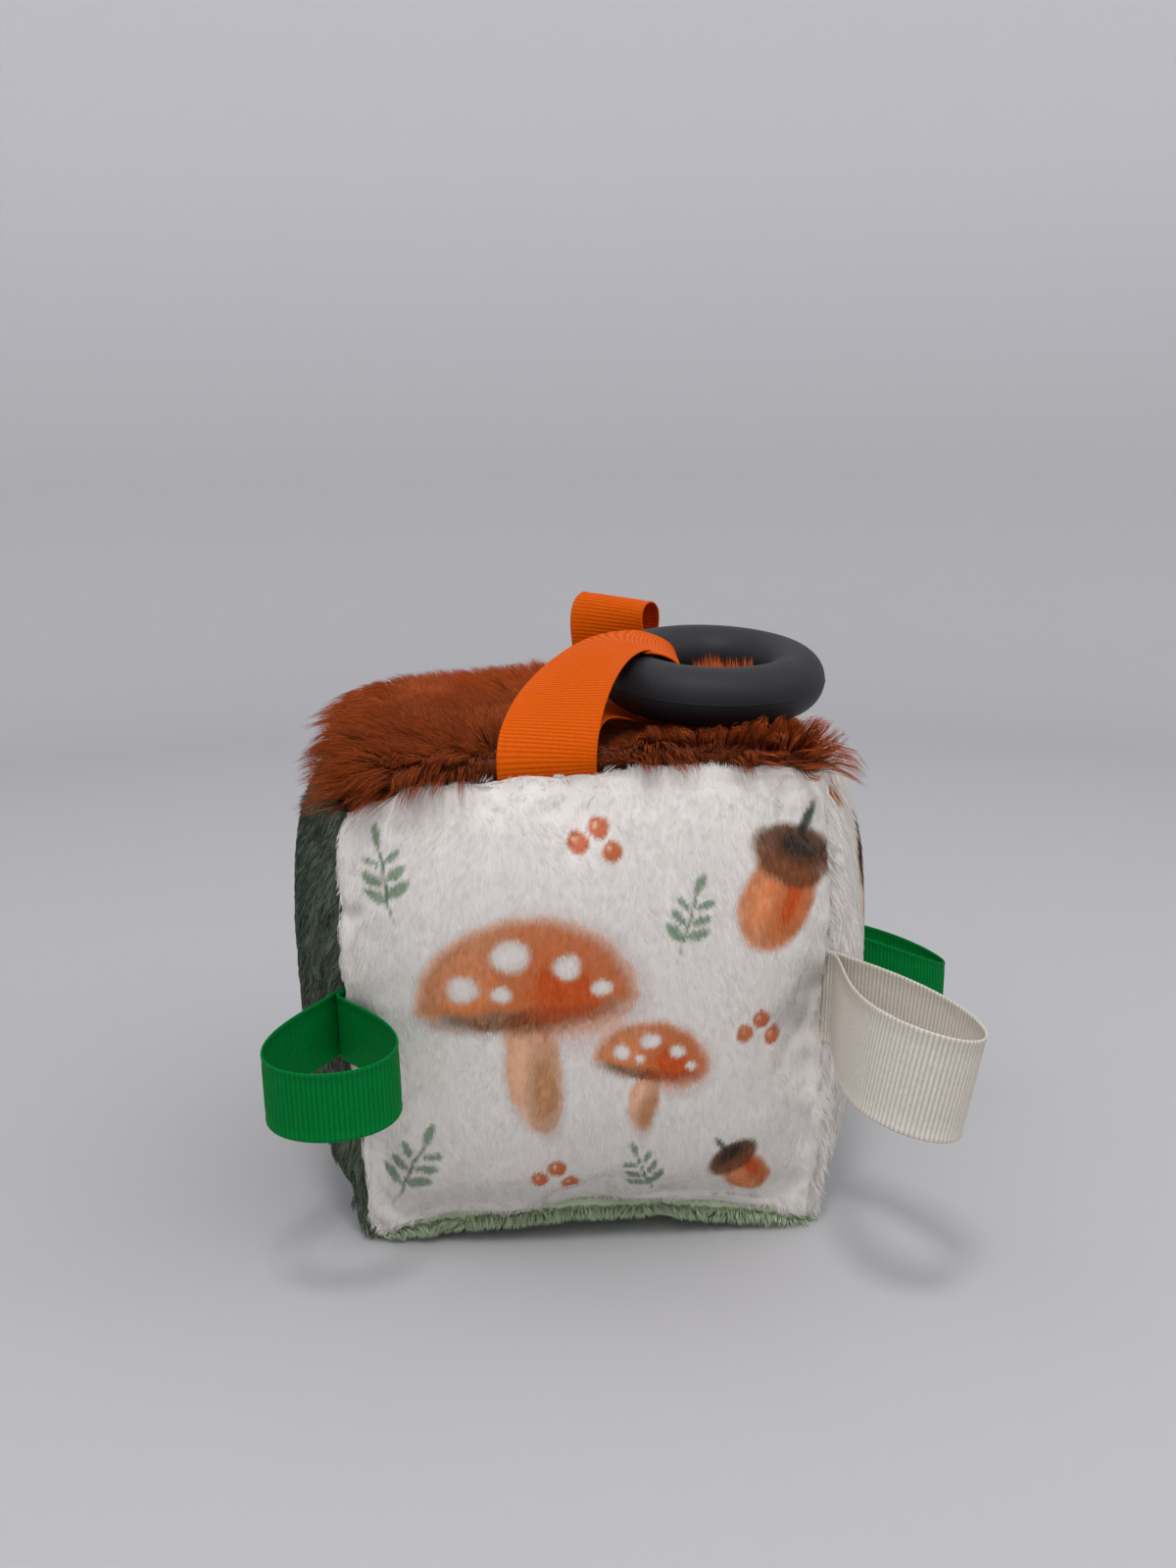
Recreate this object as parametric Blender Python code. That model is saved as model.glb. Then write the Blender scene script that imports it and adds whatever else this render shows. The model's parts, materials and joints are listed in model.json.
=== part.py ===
"""A soft fabric activity block for a baby, in metres, +Z up.

The front face looks along -Y and the right face along +X. The origin is at the
centre of the flat patch that the block stands on. Six plush squares are sewn
edge to edge and stuffed. Five folded ribbon loops are caught in the seams, and
the one in the top front seam carries a teething ring.
"""

import math

import bmesh
import bpy
from mathutils import Matrix, Vector

# Block, measured between its seams
BLOCK_WIDTH = 0.110
BLOCK_DEPTH = 0.110
BLOCK_HEIGHT = 0.106
SEAM_RISE = 0.005  # the bottom seams stand this high over the floor

# How the stuffed block settles
BASE_DRAW_IN = 0.0025  # each bottom corner stands in by this
CORNER_SAG = 0.006  # the top corner at the front left hangs by this
CORNER_DRAW = 0.0030  # every corner is drawn in by this along each edge

# Plush squares and their seams
CLOTH_THICKNESS = 0.0019  # backing with its short pile
SEAM_ALLOWANCE = 0.0085  # turned inwards along each edge
ROLL_RADIUS = 0.0026  # the cloth's outer bend into a seam
SIDE_CROWN = 0.0095  # how far a stuffed side stands out past its bends
TOP_CROWN = 0.0004
BOTTOM_CROWN = 0.0060
CLEARANCE = 0.0003  # between pieces that touch
RING_EASE = 0.0010  # between the ring and the fur that it has pressed

# Fur of the top square
FUR_DEPTH = 0.0045  # it stands this far over the cloth
FUR_OVERHANG = 0.0050  # and this far out past the seams
FUR_PRESSED = 0.0004  # what is left of it under the ring and the ribbons
FUR_PARTING = 0.0025  # stays pressed this far beside them
FUR_SHOULDER = 0.0100  # and stands up again over this way

# Ribbons
RIBBON_THICKNESS = 0.00055
WIDE_RIBBON = 0.022
NARROW_RIBBON = 0.015
TAIL_DEPTH = 0.0080  # how far the ribbon's ends reach into the seam
TAIL_STAND = 0.0030  # and how far out of it they stay stiff

# Free loops: how far each reaches, how wide it opens and how far its end hangs
REAR_LOOP_LENGTH = 0.0265
REAR_LOOP_OPENING = 0.012
LEFT_LOOP_LENGTH = 0.038
LEFT_LOOP_OPENING = 0.0275
LEFT_LOOP_DROOP = 0.0035
RIGHT_LOOP_LENGTH = 0.051
RIGHT_LOOP_OPENING = 0.022
RIGHT_LOOP_DROOP = 0.002
RIGHT_REAR_LOOP_LENGTH = 0.0555
RIGHT_REAR_LOOP_OPENING = 0.0165
RIGHT_REAR_LOOP_DROOP = 0.0115

# Where each loop's middle sits, as a share of half its seam from the seam's middle
REAR_LOOP_SHARE = 0.29
LEFT_LOOP_SHARE = 0
RIGHT_LOOP_SHARE = -0.01
RIGHT_REAR_LOOP_SHARE = -0.36

# Degrees that each loop lies over from straight out of its seam, and that it twists
REAR_LOOP_TURN = 54.0
REAR_LOOP_TWIST = -35.0
LEFT_LOOP_TURN = 48.0
RIGHT_LOOP_TURN = -30.0
RIGHT_LOOP_TWIST = -13.0
RIGHT_REAR_LOOP_TURN = -56.5

# Ribbon that carries the ring
RING_RIBBON_OFFSET = -0.008  # its middle, from the block's middle
RIBBON_EASE = 0.0006  # between the ribbon and the ring's tube
UPPER_SWING = 0.020  # how far each leaf runs on before it turns
LOWER_SWING = 0.013
RING_RIBBON_TURN = -45.0  # degrees, from straight out of the seam to straight up

# Teething ring
RING_DIAMETER = 0.055
RING_TUBE = 0.014
RING_RIGHT = 0.0337  # its middle from the block's middle
RING_FORWARD = 0.016
RING_LEAN_RIGHT = 1.5  # degrees
RING_LEAN_FORWARD = 8.0
RING_RADIUS = (RING_DIAMETER - RING_TUBE) / 2  # to the middle of the tube

# Shapes of the curves
SIDE_FULLNESS = 3.0  # a higher power swells flatter, with a tighter shoulder
TOP_FULLNESS = 5.0
BOTTOM_FULLNESS = 4.0
CORNER_POWER = 4.0  # a higher power keeps the draw closer to the corner
SAG_POWER = 3.0
PINCH_POWER = 1.5  # how tightly a loop closes at its seam
EDGE_BIAS_SHARE = 0.55  # of the grid lines' way towards the edges
CRISP_ANGLE = 50.0  # degrees; edges sharper than this aren't shaded smooth

# How finely the forms are cut
FACE_CELLS = 10
FUR_CELLS = 20
ROLL_CELLS = 4
LOOP_CELLS = 30
LEAF_CELLS = 12
WRAP_CELLS = 12
RIBBON_CELLS = 6
RING_CELLS = 48
TUBE_CELLS = 20

# Fur over the cloth's bend into the seam, row by row from the face to the allowance
FUR_RIM_SHARES = (
    # of its depth, of its overhang sideways and of that upwards
    (1.0, 0.1, 0), (0.9, 0.6, 0), (0.7, 1.0, 0), (0, 0.8, 0.2), (0, 0, 0), (0, 0, 0),
)

PANELS = {
    # name: across, up, outward, crown, pressed pile, fullness, colour
    "panel_front": ((1, 0, 0), (0, 0, 1), (0, -1, 0), SIDE_CROWN, 0, SIDE_FULLNESS, "ivory plush"),
    "panel_back": ((-1, 0, 0), (0, 0, 1), (0, 1, 0), SIDE_CROWN, 0, SIDE_FULLNESS, "moss plush"),
    "panel_right": ((0, 1, 0), (0, 0, 1), (1, 0, 0), SIDE_CROWN, 0, SIDE_FULLNESS, "ivory plush"),
    "panel_left": ((0, -1, 0), (0, 0, 1), (-1, 0, 0), SIDE_CROWN, 0, SIDE_FULLNESS, "moss plush"),
    "panel_top": ((1, 0, 0), (0, 1, 0), (0, 0, 1), TOP_CROWN, FUR_PRESSED, TOP_FULLNESS, "rust fur"),
    "panel_bottom": ((1, 0, 0), (0, -1, 0), (0, 0, -1), BOTTOM_CROWN, 0, BOTTOM_FULLNESS, "sage plush"),
}

LOOPS = {
    # name: two outward sides, place along the seam, panels beside it
    "rear_loop": ((0, 1, 0), (0, 0, 1), REAR_LOOP_SHARE, "panel_back", "panel_top"),
    "left_loop": ((-1, 0, 0), (0, -1, 0), LEFT_LOOP_SHARE, "panel_left", "panel_front"),
    "right_loop": ((1, 0, 0), (0, -1, 0), RIGHT_LOOP_SHARE, "panel_right", "panel_front"),
    "right_rear_loop": ((1, 0, 0), (0, 1, 0), RIGHT_REAR_LOOP_SHARE, "panel_right", "panel_back"),
}

LOOP_FORMS = {
    # name: width, length, opening, turn, twist, droop, finish
    "rear_loop": (
        WIDE_RIBBON, REAR_LOOP_LENGTH, REAR_LOOP_OPENING,
        REAR_LOOP_TURN, REAR_LOOP_TWIST, 0, "orange grosgrain",
    ),
    "left_loop": (
        NARROW_RIBBON, LEFT_LOOP_LENGTH, LEFT_LOOP_OPENING,
        LEFT_LOOP_TURN, 0, LEFT_LOOP_DROOP, "green grosgrain",
    ),
    "right_loop": (
        WIDE_RIBBON, RIGHT_LOOP_LENGTH, RIGHT_LOOP_OPENING,
        RIGHT_LOOP_TURN, RIGHT_LOOP_TWIST, RIGHT_LOOP_DROOP, "cream grosgrain",
    ),
    "right_rear_loop": (
        NARROW_RIBBON, RIGHT_REAR_LOOP_LENGTH, RIGHT_REAR_LOOP_OPENING,
        RIGHT_REAR_LOOP_TURN, 0, RIGHT_REAR_LOOP_DROOP, "green grosgrain",
    ),
}

FINISHES = {
    # name: colour, roughness
    "ivory plush": ((0.62, 0.59, 0.55), 0.95),
    "moss plush": ((0.055, 0.075, 0.058), 0.95),
    "rust fur": ((0.20, 0.045, 0.012), 0.90),
    "sage plush": ((0.36, 0.45, 0.30), 0.95),
    "polyester fill": ((0.85, 0.85, 0.83), 1.0),
    "orange grosgrain": ((0.82, 0.13, 0.004), 0.60),
    "green grosgrain": ((0.004, 0.14, 0.035), 0.60),
    "cream grosgrain": ((0.70, 0.64, 0.54), 0.60),
    "charcoal silicone": ((0.022, 0.024, 0.028), 0.50),
}


def clear_scene():
    for old in list(bpy.data.objects):
        bpy.data.objects.remove(old, do_unlink=True)


def finish(name):
    """One material for each cloth, ribbon and the silicone."""
    colour, roughness = FINISHES[name]
    material = bpy.data.materials.get(name) or bpy.data.materials.new(name)
    material.use_nodes = True
    shader = material.node_tree.nodes["Principled BSDF"]
    shader.inputs["Base Color"].default_value = (*colour, 1)
    shader.inputs["Roughness"].default_value = roughness
    shader.inputs["Metallic"].default_value = 0
    return material


def add_piece(name, points, faces, finish_name, origin=None):
    """A named object from points in the world, with its origin where it turns."""
    origin = origin or Vector()
    form = bmesh.new()
    corners = [form.verts.new(point - origin) for point in points]
    for face in faces:
        form.faces.new([corners[index] for index in face])
    bmesh.ops.recalc_face_normals(form, faces=form.faces)
    mesh = bpy.data.meshes.new(name)
    form.to_mesh(mesh)
    form.free()
    mesh.shade_smooth()
    mesh.set_sharp_from_angle(angle=math.radians(CRISP_ANGLE))
    mesh.materials.append(finish(finish_name))
    piece = bpy.data.objects.new(name, mesh)
    piece.location = origin
    bpy.context.collection.objects.link(piece)
    return piece


# Settling


def settled(point):
    """Where a point of the evenly stuffed block lies once the block has settled."""
    up = min(max((point.z - SEAM_RISE) / BLOCK_HEIGHT, 0), 1)
    low = (1 - up) ** 2
    left = min(max(0.5 - point.x / BLOCK_WIDTH, 0), 1)
    front = min(max(0.5 - point.y / BLOCK_DEPTH, 0), 1)
    sag = CORNER_SAG * up * (left * front) ** SAG_POWER
    aside, behind = 2 * abs(point.x) / BLOCK_WIDTH, 2 * abs(point.y) / BLOCK_DEPTH
    above = abs(2 * up - 1)
    draw = CORNER_DRAW * (min(aside, 1) * min(behind, 1) * above) ** CORNER_POWER
    return Vector((
        point.x * (1 - low * BASE_DRAW_IN / (BLOCK_WIDTH / 2)) - math.copysign(draw, point.x),
        point.y * (1 - low * BASE_DRAW_IN / (BLOCK_DEPTH / 2)) - math.copysign(draw, point.y),
        point.z - sag - math.copysign(draw, 2 * up - 1),
    ))


# Sewn squares


def half_extent(direction):
    """Half the block's seam to seam size along one of its axes."""
    return Vector((BLOCK_WIDTH, BLOCK_DEPTH, BLOCK_HEIGHT)).dot([abs(part) for part in direction]) / 2


def cell_share(index, cells):
    """Grid lines crowd a little towards the edges, where the cloth bends most."""
    even = index / cells
    eased = (1 - math.cos(math.pi * even)) / 2
    return even + (eased - even) * EDGE_BIAS_SHARE


def risen(way):
    """How far the fur has risen, from 0 to 1, this far outside what presses it."""
    share = min(max((way - FUR_PARTING) / FUR_SHOULDER, 0), 1)
    return share * share * (3 - 2 * share)


def beside_ribbon(right, back, middle, edge):
    """How far a place of the top lies from the root of a wide ribbon."""
    return math.hypot(max(abs(right - middle) - WIDE_RIBBON / 2, 0), back - edge)


def fur_stand(right, back):
    """How much of its depth the fur keeps at a place of the top, from 0 to 1.

    The ring and its ribbon press it flat over the front right.
    """
    left_of_ribbon = RING_RIBBON_OFFSET - WIDE_RIBBON / 2 - right
    behind_ring = back + RING_FORWARD - RING_DIAMETER / 2
    return max(risen(left_of_ribbon), risen(behind_ring)) * fur_hang(right, back)


def fur_hang(right, back):
    """How much of its overhang the fur keeps at a place of the top, from 0 to 1."""
    rear_middle = BLOCK_WIDTH / 2 * REAR_LOOP_SHARE
    at_front = beside_ribbon(right, back, RING_RIBBON_OFFSET, -BLOCK_DEPTH / 2)
    at_rear = beside_ribbon(right, back, rear_middle, BLOCK_DEPTH / 2)
    return risen(at_front) * risen(at_rear)


class Skin:
    """One side of a sewn square: its face, its bend into the seam and its allowance."""

    def __init__(self, panel, seam_gap, roll, crown, fullness, floor, furred=False):
        across, up, outward = PANELS[panel][:3]
        self.across, self.up, self.outward = Vector(across), Vector(up), Vector(outward)
        self.half_across, self.half_up = half_extent(across), half_extent(up)
        self.middle = Vector((0, 0, SEAM_RISE + BLOCK_HEIGHT / 2)) + self.outward * half_extent(outward)
        self.seam_gap, self.roll, self.crown = seam_gap, roll, crown
        self.fullness, self.floor, self.furred = fullness, floor, furred
        self.cells = FUR_CELLS if outward == PANELS["panel_top"][2] else FACE_CELLS
        self.bend = (roll + seam_gap) / math.sqrt(2)  # centre of the bend, from the seam both ways

    def swell(self, share):
        return 1 - abs(2 * share - 1) ** self.fullness

    def slope(self, half_size, swell):
        """Angle at which the face arrives at an edge, there where it swells so much."""
        return math.atan(self.crown * self.fullness / half_size * swell)

    def world(self, along, across_up, out, at_side=False, at_end=False, level=0):
        if self.furred:
            depth_share, hang_share, lift_share = FUR_RIM_SHARES[level]
            hang = FUR_OVERHANG * fur_hang(along, across_up) / math.sqrt(max(at_side + at_end, 1))
            out += FUR_DEPTH * fur_stand(along, across_up) * depth_share + hang * lift_share
            along += math.copysign(hang * hang_share, along) if at_side else 0
            across_up += math.copysign(hang * hang_share, across_up) if at_end else 0
        point = self.middle + self.across * along + self.up * across_up + self.outward * out
        if self.outward.z < 0:
            point.z = max(point.z, self.floor)
        return settled(point)

    def face_point(self, share_across, share_up, sink=0):
        """A point of the face, from its shares of the way over and up."""
        swell_across, swell_up = self.swell(share_across), self.swell(share_up)
        start_across = self.bend - self.roll * math.sin(self.slope(self.half_across, swell_up))
        start_up = self.bend - self.roll * math.sin(self.slope(self.half_up, swell_across))
        either = 1 - (1 - swell_across) * (1 - swell_up)
        half = min(self.half_across, self.half_up)
        return self.world(
            (2 * share_across - 1) * (self.half_across - start_across),
            (2 * share_up - 1) * (self.half_up - start_up),
            self.bend
            + self.roll * math.cos(self.slope(half, either))
            + self.crown * swell_across * swell_up
            - sink,
            share_across in (0, 1),
            share_up in (0, 1),
        )

    def rim_profile(self, half_size, swell):
        """The bend and the allowance in section: (in from the seam, out from it)."""
        begin = math.pi / 2 + self.slope(half_size, swell)
        end = math.pi * 5 / 4
        profile = []
        for step in range(ROLL_CELLS + 1):
            angle = begin + (end - begin) * step / ROLL_CELLS
            profile.append((
                self.bend + self.roll * math.cos(angle),
                self.bend + self.roll * math.sin(angle),
            ))
        inward = SEAM_ALLOWANCE / math.sqrt(2)
        profile.append((profile[-1][0] + inward, profile[-1][1] - inward))
        return profile

    def rim_point(self, across_index, up_index, level):
        """A point of the rim beside one cell of the face's border."""
        share_across, share_up = cell_share(across_index, self.cells), cell_share(up_index, self.cells)
        at_side = across_index in (0, self.cells)
        at_end = up_index in (0, self.cells)
        place = (at_side, at_end, level)
        corner = self.rim_profile(self.half_across, 0)[level]
        if at_side and at_end:
            inward, out = corner
            return self.world(
                math.copysign(self.half_across - inward, share_across - 0.5),
                math.copysign(self.half_up - inward, share_up - 0.5),
                out, *place,
            )
        if at_side:
            inward, out = self.rim_profile(self.half_across, self.swell(share_up))[level]
            return self.world(
                math.copysign(self.half_across - inward, share_across - 0.5),
                (2 * share_up - 1) * (self.half_up - corner[0]),
                out, *place,
            )
        inward, out = self.rim_profile(self.half_up, self.swell(share_across))[level]
        return self.world(
            (2 * share_across - 1) * (self.half_across - corner[0]),
            math.copysign(self.half_up - inward, share_up - 0.5),
            out, *place,
        )


def grid_places(cells):
    """Every grid place of a face, row by row."""
    size = range(cells + 1)
    return [(across_index, up_index) for up_index in size for across_index in size]


def grid_index(across_index, up_index, cells):
    return up_index * (cells + 1) + across_index


def grid_faces(first, cells):
    """The cells of a face whose first point has this number."""
    faces = []
    for up_index in range(cells):
        for across_index in range(cells):
            corners = ((0, 0), (1, 0), (1, 1), (0, 1))
            faces.append([first + grid_index(across_index + a, up_index + b, cells) for a, b in corners])
    return faces


def border_cells(last):
    """Grid places round the border of a face, in order."""
    return (
        [(index, 0) for index in range(last)]
        + [(last, index) for index in range(last)]
        + [(last - index, last) for index in range(last)]
        + [(0, last - index) for index in range(last)]
    )


def outer_skin(panel):
    crown, pile, fullness = PANELS[panel][3:6]
    return Skin(panel, CLEARANCE / 2, ROLL_RADIUS, crown + pile, fullness, 0, furred=bool(pile))


def inner_skin(panel):
    crown = PANELS[panel][3]
    roll = ROLL_RADIUS - CLOTH_THICKNESS
    return Skin(panel, CLEARANCE / 2 + CLOTH_THICKNESS, roll, crown, SIDE_FULLNESS, CLOTH_THICKNESS)


def build_panel(panel):
    """A square of plush with its four allowances turned in along the seams."""
    points, faces = [], []
    rims = []
    for skin in (outer_skin(panel), inner_skin(panel)):
        first, cells = len(points), skin.cells
        for across_index, up_index in grid_places(cells):
            points.append(skin.face_point(cell_share(across_index, cells), cell_share(up_index, cells)))
        faces += grid_faces(first, cells)
        ring = [first + grid_index(*place, cells) for place in border_cells(cells)]
        for level in range(1, ROLL_CELLS + 2):
            start = len(points)
            points += [skin.rim_point(*place, level) for place in border_cells(cells)]
            next_ring = list(range(start, len(points)))
            faces += quads_between(ring, next_ring)
            ring = next_ring
        rims.append(ring)
    faces += quads_between(*rims)
    return add_piece(panel, points, faces, PANELS[panel][6])


def quads_between(ring, other):
    """Faces from one closed row of points to another."""
    count = len(ring)
    return [
        (ring[index], ring[(index + 1) % count], other[(index + 1) % count], other[index])
        for index in range(count)
    ]


# Fibre fill


def fill_share(skin, half_size, index):
    """Shares of the way over the fill's face, which stops short of the allowances."""
    inset = skin.bend + skin.roll + skin.crown + (SEAM_ALLOWANCE + CLEARANCE) * math.sqrt(2)
    edge = inset / (2 * half_size)
    return edge + (1 - 2 * edge) * index / FACE_CELLS


def build_fill():
    """The stuffing: six crowned faces, cut back at the edges behind the allowances."""
    points, faces = [], []
    borders = {}
    for panel in PANELS:
        skin = inner_skin(panel)
        skin.floor = CLOTH_THICKNESS + CLEARANCE
        steepest = skin.slope(min(skin.half_across, skin.half_up), 1)
        first = len(points)
        for across_index, up_index in grid_places(FACE_CELLS):
            points.append(skin.face_point(
                fill_share(skin, skin.half_across, across_index),
                fill_share(skin, skin.half_up, up_index),
                CLEARANCE / math.cos(steepest),
            ))
        faces += grid_faces(first, FACE_CELLS)
        border = border_cells(FACE_CELLS)
        for place, following in zip(border, border[1:] + border[:1]):
            edge = [lattice_place(skin, *place), lattice_place(skin, *following)]
            ends = [
                first + grid_index(*place, FACE_CELLS), first + grid_index(*following, FACE_CELLS)
            ]
            borders.setdefault(frozenset(edge), []).append(dict(zip(edge, ends)))
    corners = {}
    for edge, (one, other) in borders.items():
        begin, end = edge
        faces.append((one[begin], one[end], other[end], other[begin]))
        for place in edge:
            corners.setdefault(place, set()).update((one[place], other[place]))
    faces += [tuple(around) for around in corners.values() if len(around) == 3]
    return add_piece("fibre_fill", points, faces, "polyester fill")


def lattice_place(skin, across_index, up_index):
    """The border place that two neighbouring faces share, as whole numbers."""
    place = (
        skin.across * (2 * across_index - FACE_CELLS)
        + skin.up * (2 * up_index - FACE_CELLS)
        + skin.outward * FACE_CELLS
    )
    return tuple(round(part) for part in place)


# Ribbons


class SeamPlace:
    """A place on a seam: its point, the way out of the seam and the way along it."""

    def __init__(self, out_one, out_two, share):
        one, two = Vector(out_one), Vector(out_two)
        along = one.cross(two)
        if along.z < 0 or along.x < 0 or along.y < 0:
            along = -along
        middle = Vector((0, 0, SEAM_RISE + BLOCK_HEIGHT / 2))
        edge = middle + one * half_extent(one) + two * half_extent(two)
        half = half_extent(along)
        point = edge + along * (half * share)
        step = along * CLOTH_THICKNESS  # a short way either side, to see how the seam runs
        self.point = settled(point)
        self.along = (settled(point + step) - settled(point - step)).normalized()
        self.out = (one + two).normalized()
        self.out = (self.out - self.along * self.out.dot(self.along)).normalized()
        self.side = self.along.cross(self.out)
        self.hinge = self.point + self.out * TAIL_STAND


def block_cell(name, centre, axes, sizes, finish_name):
    """A plain block, by its middle, its three axes and its three sizes."""
    signs = (-0.5, 0.5)
    points = [
        centre + axes[0] * sizes[0] * a + axes[1] * sizes[1] * b + axes[2] * sizes[2] * c
        for a in signs for b in signs for c in signs
    ]
    faces = [(0, 1, 3, 2), (4, 5, 7, 6), (0, 1, 5, 4), (2, 3, 7, 6), (0, 2, 6, 4), (1, 3, 7, 5)]
    return add_piece(name, points, faces, finish_name)


def build_tail(name, place, width, finish_name, panels):
    """The sewn ends of a ribbon, in slots that they press into the two allowances."""
    thickness = 2 * RIBBON_THICKNESS + CLEARANCE
    top = TAIL_STAND - CLEARANCE
    length = TAIL_DEPTH + top
    axes = (place.along, place.out, place.side)
    middle = place.point + place.out * (top - length / 2)
    tail = block_cell(name, middle, axes, (width, length, thickness), finish_name)
    slot_length = length + 2 * (SEAM_ALLOWANCE - TAIL_DEPTH) + 2 * TAIL_STAND
    slot = block_cell(
        name + "_slot", middle, axes,
        (width + 2 * CLEARANCE, slot_length, thickness + 2 * CLEARANCE), finish_name,
    )
    slot.hide_render = True
    slot.display_type = "WIRE"
    for panel in panels:
        cut = panel.modifiers.new("ribbon slot", "BOOLEAN")
        cut.object = slot
        cut.operation = "DIFFERENCE"
        cut.solver = "EXACT"
    return tail


def build_band(name, rows, finish_name, origin):
    """A ribbon whose middle surface runs through rows of points laid across it."""
    points, faces = [], []
    count = len(rows[0])
    for index, row in enumerate(rows):
        before, after = rows[max(index - 1, 0)], rows[min(index + 1, len(rows) - 1)]
        lower, upper = [], []
        for place, point in enumerate(row):
            across = row[min(place + 1, count - 1)] - row[max(place - 1, 0)]
            out = across.cross(after[place] - before[place]).normalized() * (RIBBON_THICKNESS / 2)
            lower.append(point - out)
            upper.append(point + out)
        points += lower + upper[::-1]
    section = 2 * count
    for index in range(len(rows) - 1):
        near = list(range(section * index, section * (index + 1)))
        faces += quads_between(near, [corner + section for corner in near])
    for start in (0, section * (len(rows) - 1)):
        faces += [
            (start + place, start + place + 1, start + section - 2 - place, start + section - 1 - place)
            for place in range(count - 1)
        ]
    return add_piece(name, points, faces, finish_name, origin)


def build_loop(name, place, width, length, opening, turn, twist, droop, finish_name):
    """A folded ribbon: a drop-shaped loop whose two ends meet at the seam."""
    turned = Matrix.Rotation(math.radians(turn), 3, place.along)
    out, side = turned @ place.out, turned @ place.side
    root = (RIBBON_THICKNESS + CLEARANCE) / 2
    angles = [2 * math.pi * step / LOOP_CELLS for step in range(LOOP_CELLS + 1)]
    swells = [math.sin(angle) * math.sin(angle / 2) ** PINCH_POWER for angle in angles]
    rows = []
    for angle, swell in zip(angles, swells):
        reach = (1 - math.cos(angle)) / 2
        twisted = Matrix.Rotation(math.radians(twist * reach), 3, out)
        middle = (
            place.hinge
            + out * (RIBBON_THICKNESS + length * reach)
            + twisted @ side * (root * math.cos(angle / 2) + opening / 2 * swell / max(swells))
            - Vector((0, 0, droop * reach ** 2))
        )
        half = twisted @ place.along * (width / 2)
        rows.append([middle - half, middle + half])
    return build_band(name, rows, finish_name, place.hinge)


# Ring and its ribbon


def top_height(right, back):
    """How high the top's pressed fur stands over a place of the block."""
    skin = outer_skin("panel_top")
    return skin.face_point(0.5 + right / BLOCK_WIDTH, 0.5 + back / BLOCK_DEPTH).z


def ring_frame():
    """The ring's middle and axis as it lies on the top, over its ribbon's lower leaf."""
    lean = Matrix.Rotation(math.radians(RING_LEAN_RIGHT), 3, "Y") @ Matrix.Rotation(
        math.radians(RING_LEAN_FORWARD), 3, "X"
    )
    rest = 0
    for step in range(RING_CELLS):
        angle = 2 * math.pi * step / RING_CELLS
        arm = lean @ Vector((RING_RADIUS * math.cos(angle), RING_RADIUS * math.sin(angle), 0))
        right, back = RING_RIGHT + arm.x, arm.y - RING_FORWARD
        over_ribbon = arm.x < 0 and abs(arm.y) < WIDE_RIBBON / 2 + RIBBON_EASE
        under = RIBBON_THICKNESS + 2 * RIBBON_EASE if over_ribbon else RING_EASE
        if abs(right) < BLOCK_WIDTH / 2:
            rest = max(rest, top_height(right, back) + under - arm.z)
    return Vector((RING_RIGHT, -RING_FORWARD, rest + RING_TUBE / 2)), lean


def build_ring():
    centre, lean = ring_frame()
    points, faces = [], []
    for step in range(RING_CELLS):
        angle = 2 * math.pi * step / RING_CELLS
        outward = Vector((math.cos(angle), math.sin(angle), 0))
        for turn in range(TUBE_CELLS):
            around = 2 * math.pi * turn / TUBE_CELLS
            arm = outward * (RING_RADIUS + RING_TUBE / 2 * math.cos(around))
            arm.z = RING_TUBE / 2 * math.sin(around)
            points.append(centre + lean @ arm)
    for step in range(RING_CELLS):
        near = [step * TUBE_CELLS + turn for turn in range(TUBE_CELLS)]
        far = [(step + 1) % RING_CELLS * TUBE_CELLS + turn for turn in range(TUBE_CELLS)]
        faces += quads_between(near, far)
    return add_piece("teething_ring", points, faces, "charcoal silicone", centre)


def leaf_rows(root, way, across, tip_row, tip_way, swing):
    """One leaf of the ring's ribbon, which turns a quarter round on its way to the tube."""
    tip = tip_row[len(tip_row) // 2]
    tip_across = (tip_row[-1] - tip_row[0]).normalized()
    rows = []
    for step in range(LEAF_CELLS):
        share = step / LEAF_CELLS
        rest = 1 - share
        point = (
            root * (rest ** 3 + 3 * rest ** 2 * share)
            + way * (3 * rest ** 2 * share * swing)
            + tip * (share ** 3 + 3 * share ** 2 * rest)
            - tip_way * (3 * share ** 2 * rest * swing)
        )
        heading = (
            (way * (rest ** 2 - 2 * rest * share) + tip_way * (share ** 2 - 2 * rest * share)) * swing
            + (tip - root) * (2 * rest * share)
        ).normalized()
        eased = share * share * (3 - 2 * share)
        turned = across.lerp(tip_across, eased)
        turned = (turned - heading * turned.dot(heading)).normalized()
        row = []
        for place, end in enumerate(tip_row):
            side = (2 * place / RIBBON_CELLS - 1) * WIDE_RIBBON / 2
            bent = (end - tip) - tip_across * side
            row.append(point + turned * side + bent * share ** 3)
        rows.append(row)
    return rows


def wrap_rows():
    """The ribbon's rows where it hugs the tube, from the top through the ring to below."""
    centre, lean = ring_frame()
    reach = RING_TUBE / 2 + RIBBON_EASE + RIBBON_THICKNESS / 2
    rows = []
    for step in range(WRAP_CELLS + 1):
        around = math.pi * step / WRAP_CELLS
        row = []
        for place in range(RIBBON_CELLS + 1):
            side = (2 * place / RIBBON_CELLS - 1) * WIDE_RIBBON / 2
            spread = math.asin(side / RING_RADIUS)
            outward = Vector((-math.cos(spread), -math.sin(spread), 0))
            arm = outward * (RING_RADIUS - reach * math.sin(around))
            arm.z = reach * math.cos(around)
            row.append(centre + lean @ arm)
        rows.append(row)
    return rows


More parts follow.
